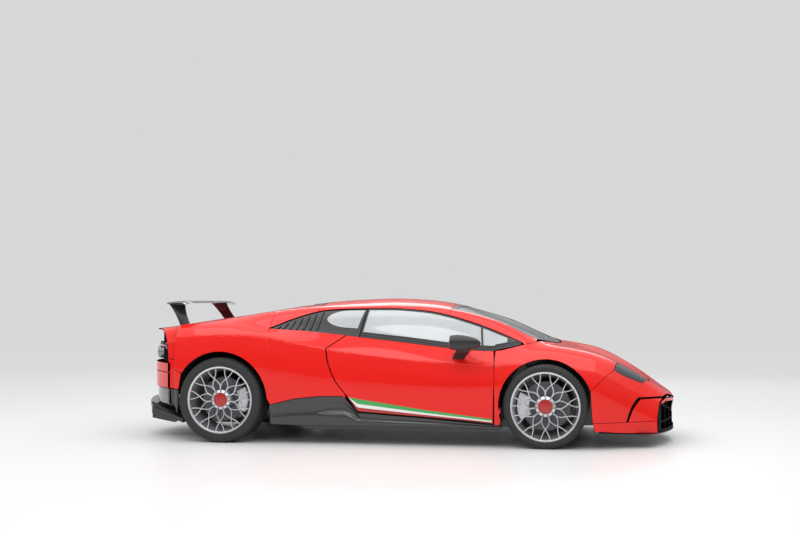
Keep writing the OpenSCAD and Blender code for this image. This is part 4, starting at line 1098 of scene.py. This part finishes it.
# ---- skirts
skirt_s = np.linspace(-900, 956, 150)
grid = by_share(pairs(np.linspace(-896, 982, 150), 0), along(skirt_top, skirt_s), 20)
share = np.linspace(0, 1, 21)[None]
scoop = ease((-150 - skirt_s) / 60) * ease((skirt_s + 560) / 160)
groove, hollow = (np.exp(-((share - at) / wide) ** 2) for at, wide in ((0.52, 0.1), (0.68, 0.2)))
lift = -9 * groove - 26 * scoop[:, None] * hollow
panel("skirt_panels", [pressed(grid, lift)], CARBON, nodes=["side_skirts"])


# ---- mirrors: a bullet-shaped head on a forked arm, with the glass facing back
def mirror_parts():
    u = np.linspace(0, 1, 26)
    x = 584 + 236 * u
    ry = 70 * np.sqrt(np.clip(1 - u ** 2.6, 0.003, 1))
    rz = np.interp(u, [0, 0.25, 1], [54, 64, 66]) * np.sqrt(np.clip(1 - u ** 2.2, 0.003, 1))
    a = np.linspace(0, 2 * math.pi, 40, endpoint=False)
    c = np.sign(np.cos(a)) * np.abs(np.cos(a)) ** 0.75
    s = np.sign(np.sin(a)) * np.abs(np.sin(a)) ** 0.8
    head = loft([[[x[i], 1036 - 8 * u[i] + ry[i] * c[k], 824 - 6 * u[i] + rz[i] * s[k]] for k in range(40)]
                 for i in range(26)])
    glass = loft([[[h, 1036 + 62 * g * c[k], 824 + 47 * g * s[k]] for k in range(40)]
                  for h, g in ((581, 0.97), (582.5, 1.0), (586, 1.0))])
    foot = skin(625, 3.3)
    arms = []
    for off, w in ((0, 70), (46, 60)):
        path = [foot + (off * 0.5 - 14, -8, -6), foot + (off * 0.8, 26, 26), (652 + off, 962, 752),
                (678 + off, 1000, 800)]
        arms.append(rod(stepped(path, 14), np.linspace(15, 11, 14), np.linspace(w, w * 0.8, 14), up=(1, 0, 0),
                        corner=0.5))
    return [head] + arms, [glass]


head, glass = mirror_parts()
for side, label in SIDES:
    body = "door_" + label
    mesh_piece("mirror_head_" + label, facing(side, head), BLACK, body, 50,
               ["mirror_" + label])
    mesh_piece("mirror_glass_" + label, facing(side, glass), MIRROR, body)

# ---- rear wing: aerofoil on two raked uprights near its ends
WING_Y, UPRIGHT_Y = 700, 560
chord = [(0, 0), (0.02, 0.045), (0.1, 0.085), (0.3, 0.11), (0.55, 0.095), (0.8, 0.05), (1, 0.006),
         (1, 0), (0.75, 0.0), (0.45, -0.005), (0.15, -0.02), (0.03, -0.02)]
rings = []
for y in np.linspace(-WING_Y, WING_Y, 50):
    tip = ease((abs(y) - UPRIGHT_Y) / (WING_Y - UPRIGHT_Y))
    rings.append([[-1688 - 10 * tip - (205 - 40 * tip) * cx, y, 1130 - 16 * tip + 150 * cz + 6 * cx ** 2]
                  for cx, cz in chord])
blade = loft(rings)
foot = skin(np.linspace(-1668, -1812, 14), 4.62)
head = np.stack(np.broadcast_arrays(np.linspace(-1745, -1893, 14), UPRIGHT_Y, 1131), -1)
rings = []
for u in np.linspace(0, 1, 18):
    line = foot * (1 - u) + head * u
    mid = line[:, 0].mean()
    line[:, 0] = mid + (line[:, 0] - mid) * (1 - 0.16 * math.sin(math.pi * u))
    half = (0, 8 - 2.5 * u, 0)
    rings.append(np.concatenate([line + half, line[::-1] - half]))
mesh_piece("wing_assembly", [blade] + both([loft(rings)]), CARBON, nodes=["rear_wing"],
           angle=30)


# ---- cabin
def pillow(corners, thick, puff, up, seams=(), n=18):
    """Crowned pad between four corner points in mm, with sewn channels at shares across its width."""
    c = np.array(corners, float)
    u, v = np.meshgrid(np.linspace(0, 1, n), np.linspace(0, 1, n), indexing="ij")
    u, v = u[..., None], v[..., None]
    flat = c[0] * (1 - u) * (1 - v) + c[1] * u * (1 - v) + c[2] * u * v + c[3] * (1 - u) * v
    normal = np.cross(c[1] - c[0], c[3] - c[0])
    normal /= np.linalg.norm(normal) * (1 if np.dot(normal, up) > 0 else -1)
    crown = (1 - np.abs(2 * u - 1) ** 3.2) * (1 - np.abs(2 * v - 1) ** 3.2)
    crown = np.clip(crown, 0, 1) ** 0.5
    channel = sum(np.exp(-((v - at) / 0.022) ** 2) for at in seams)
    top = flat + normal * (thick * 0.25 + (thick * 0.75 + puff) * crown - 9 * channel * (crown > 0.2))
    low = flat - normal * thick * 0.12 * crown
    pts = np.concatenate([top.reshape(-1, 3), low.reshape(-1, 3)])
    f = [tuple(q) for q in quads(n, n)] + [tuple(q[::-1]) for q in quads(n, n, n * n)]
    loop = rim_loop(n, n)
    f += [(a, a + n * n, b + n * n, b) for a, b in zip(loop, np.roll(loop, -1))]
    a, b, d = pts[f[0][0]], pts[f[0][1]], pts[f[0][2]]
    if np.dot(np.cross(b - a, d - a), normal) < 0:
        f = [q[::-1] for q in f]
    return pts, f


SEAT_X, SEAT_Y = -80, 372
UP, FORWARD = (0, 0, 1), (1, 0, 0.4)


def soft(name, corners, at, thick, puff, up, seams=(), fill=0.7):
    """Padded piece whose corners are measured from the seat's own origin `at`."""
    pad = pillow(np.array(corners) + at, thick, puff, up, seams)
    obj = mesh_piece(name, [pad], CLOTH, angle=80)
    sub = obj.modifiers.new("soft", "SUBSURF")
    sub.levels = sub.render_levels = 1


for side, label in SIDES:
    at = (SEAT_X, side * SEAT_Y, 0)
    soft("seat_cushion_" + label, [[462, -165, 352], [462, 165, 352], [40, 150, 262], [40, -150, 262]],
         at, 50, 14, UP, (0.36, 0.64))
    soft("seat_back_" + label, [[-60, -150, 300], [-60, 150, 300], [-300, 175, 800], [-300, -175, 800]],
         at, 46, 14, FORWARD, (0.3, 0.5, 0.7))
    soft("seat_headrest_" + label, [[-318, -105, 836], [-318, 105, 836], [-366, 92, 962], [-366, -92, 962]],
         at, 40, 12, FORWARD)
    for edge in (-1, 1):
        end = f"{label}_{'in' if edge * side < 0 else 'out'}"
        soft("seat_bolster_" + end, [[470, edge * 168, 330], [470, edge * 246, 318], [60, edge * 246, 262],
                                     [60, edge * 162, 250]], at, 74, 18, UP, fill=0.8)
        soft("seat_wing_" + end, [[-30, edge * 168, 330], [-30, edge * 244, 330], [-290, edge * 236, 780],
                                  [-290, edge * 172, 790]], at, 84, 18, FORWARD, fill=0.8)
    rings = []
    for w, drop in ((-1, 0), (-0.97, 8), (0.97, 8), (1, 0)):
        line = [(440, 160), (478, 300 - drop), (470, 330), (40, 244), (-90, 262), (-330, 800), (-372, 962),
                (-386, 955 - drop), (-350, 780), (-120, 240), (-40, 160)]
        rings.append([(SEAT_X + px, side * SEAT_Y + w * 236, pz) for px, pz in line])
    mesh_piece("seat_shell_" + label, [loft(rings)], CARBON, angle=30,
               nodes=["seats"] if side > 0 else [])

a = np.linspace(0, 2 * math.pi, 28, endpoint=False)
hood_z = 742 + 62 * np.where(np.sin(a) > 0, 1, 0.3) * np.sin(a)
binnacle = loft([np.stack(np.broadcast_arrays(x, SEAT_Y + w * np.cos(a), hood_z), -1)
                 for x, w in ((600, 150), (580, 158), (560, 150))])
vents = [block((592, 599), (yc - 55, yc + 55), (664, 700)) for yc in (-600, -120, 120, 640)]
screen_box = block((588, 599), (-88, 88), (560, 640), 3)
mesh_piece("dash_details", [binnacle, screen_box] + vents, BLACK)
belts = []
for y in (SEAT_Y, -SEAT_Y):
    path = [(-420, y + 90, 840), (-330, y + 96, 800), (-180, y + 100, 560), (-95, y + 120, 330),
            (-20, y + 190, 290)]
    belts.append(rod(stepped(path, 26) + (52, 0, 30), 46, 2.4, up=(0.9, 0, 0.5), corner=0.4))
mesh_piece("seat_belts", belts, BLACK)

# ---- finish for what the frame keeps
for name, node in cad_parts.items():
    for cell in node.material_slots:
        key = cell.material.name.split(".")[0] if cell.material else ""
        cell.material = CALIPER if name.startswith("front_knuckle") else KEPT.get(key, FRAME_GREY)

# ---- stage
mat, tree, shader = started("floor_pale", Roughness=0.35)
pale = 0.82
blend(tree, add(tree, "ShaderNodeTexNoise", Scale=0.6).outputs["Fac"], [pale * 0.985] * 3, [pale] * 3,
      shader.inputs["Base Color"])
floor = bpy.data.objects.new("floor", bpy.data.meshes.new("floor"))
floor.data.from_pydata([(-60, -60, 0), (60, -60, 0), (60, 60, 0), (-60, 60, 0)], [], [(0, 1, 2, 3)])
floor.data.materials.append(mat)
scene.collection.objects.link(floor)

world = bpy.data.worlds.new("studio")
scene.world = world
world.use_nodes = True
tree = world.node_tree
room = tree.nodes["Background"]
room.inputs["Strength"].default_value = 1.2
height = add(tree, "ShaderNodeSeparateXYZ")
tree.links.new(add(tree, "ShaderNodeTexCoord").outputs["Generated"], height.inputs[0])
blend(tree, height.outputs["Z"], (0.16, 0.165, 0.17), (1, 1, 1), room.inputs["Color"], (0.08, 0.75))
shown = add(tree, "ShaderNodeBackground", Color=(0.68, 0.68, 0.69, 1), Strength=1.0)
mix = add(tree, "ShaderNodeMixShader")
tree.links.new(add(tree, "ShaderNodeLightPath").outputs["Is Camera Ray"], mix.inputs[0])
tree.links.new(room.outputs[0], mix.inputs[1])
tree.links.new(shown.outputs[0], mix.inputs[2])
tree.links.new(mix.outputs[0], tree.nodes["World Output"].inputs["Surface"])

for name, at, aim_z, size, size_y, power in (
        ("overhead", (0, -0.6, 5.0), 0, 8.0, 2.6, 90), ("upper", (-0.5, -6.2, 6.6), 0.5, 11.0, 2.2, 200),
        ("side", (-0.5, -9.5, 4.2), 0.5, 9.0, 0.7, 60), ("back", (0, 7.5, 4.4), 0.6, 8.0, 1.4, 90)):
    light = bpy.data.lights.new(name, "AREA")
    light.energy, light.shape, light.size, light.size_y = power, "RECTANGLE", size, size_y
    softbox = bpy.data.objects.new(name, light)
    softbox.location = at
    softbox.rotation_euler = (Vector((0, 0, aim_z)) - Vector(at)).to_track_quat("-Z", "Y").to_euler()
    scene.collection.objects.link(softbox)
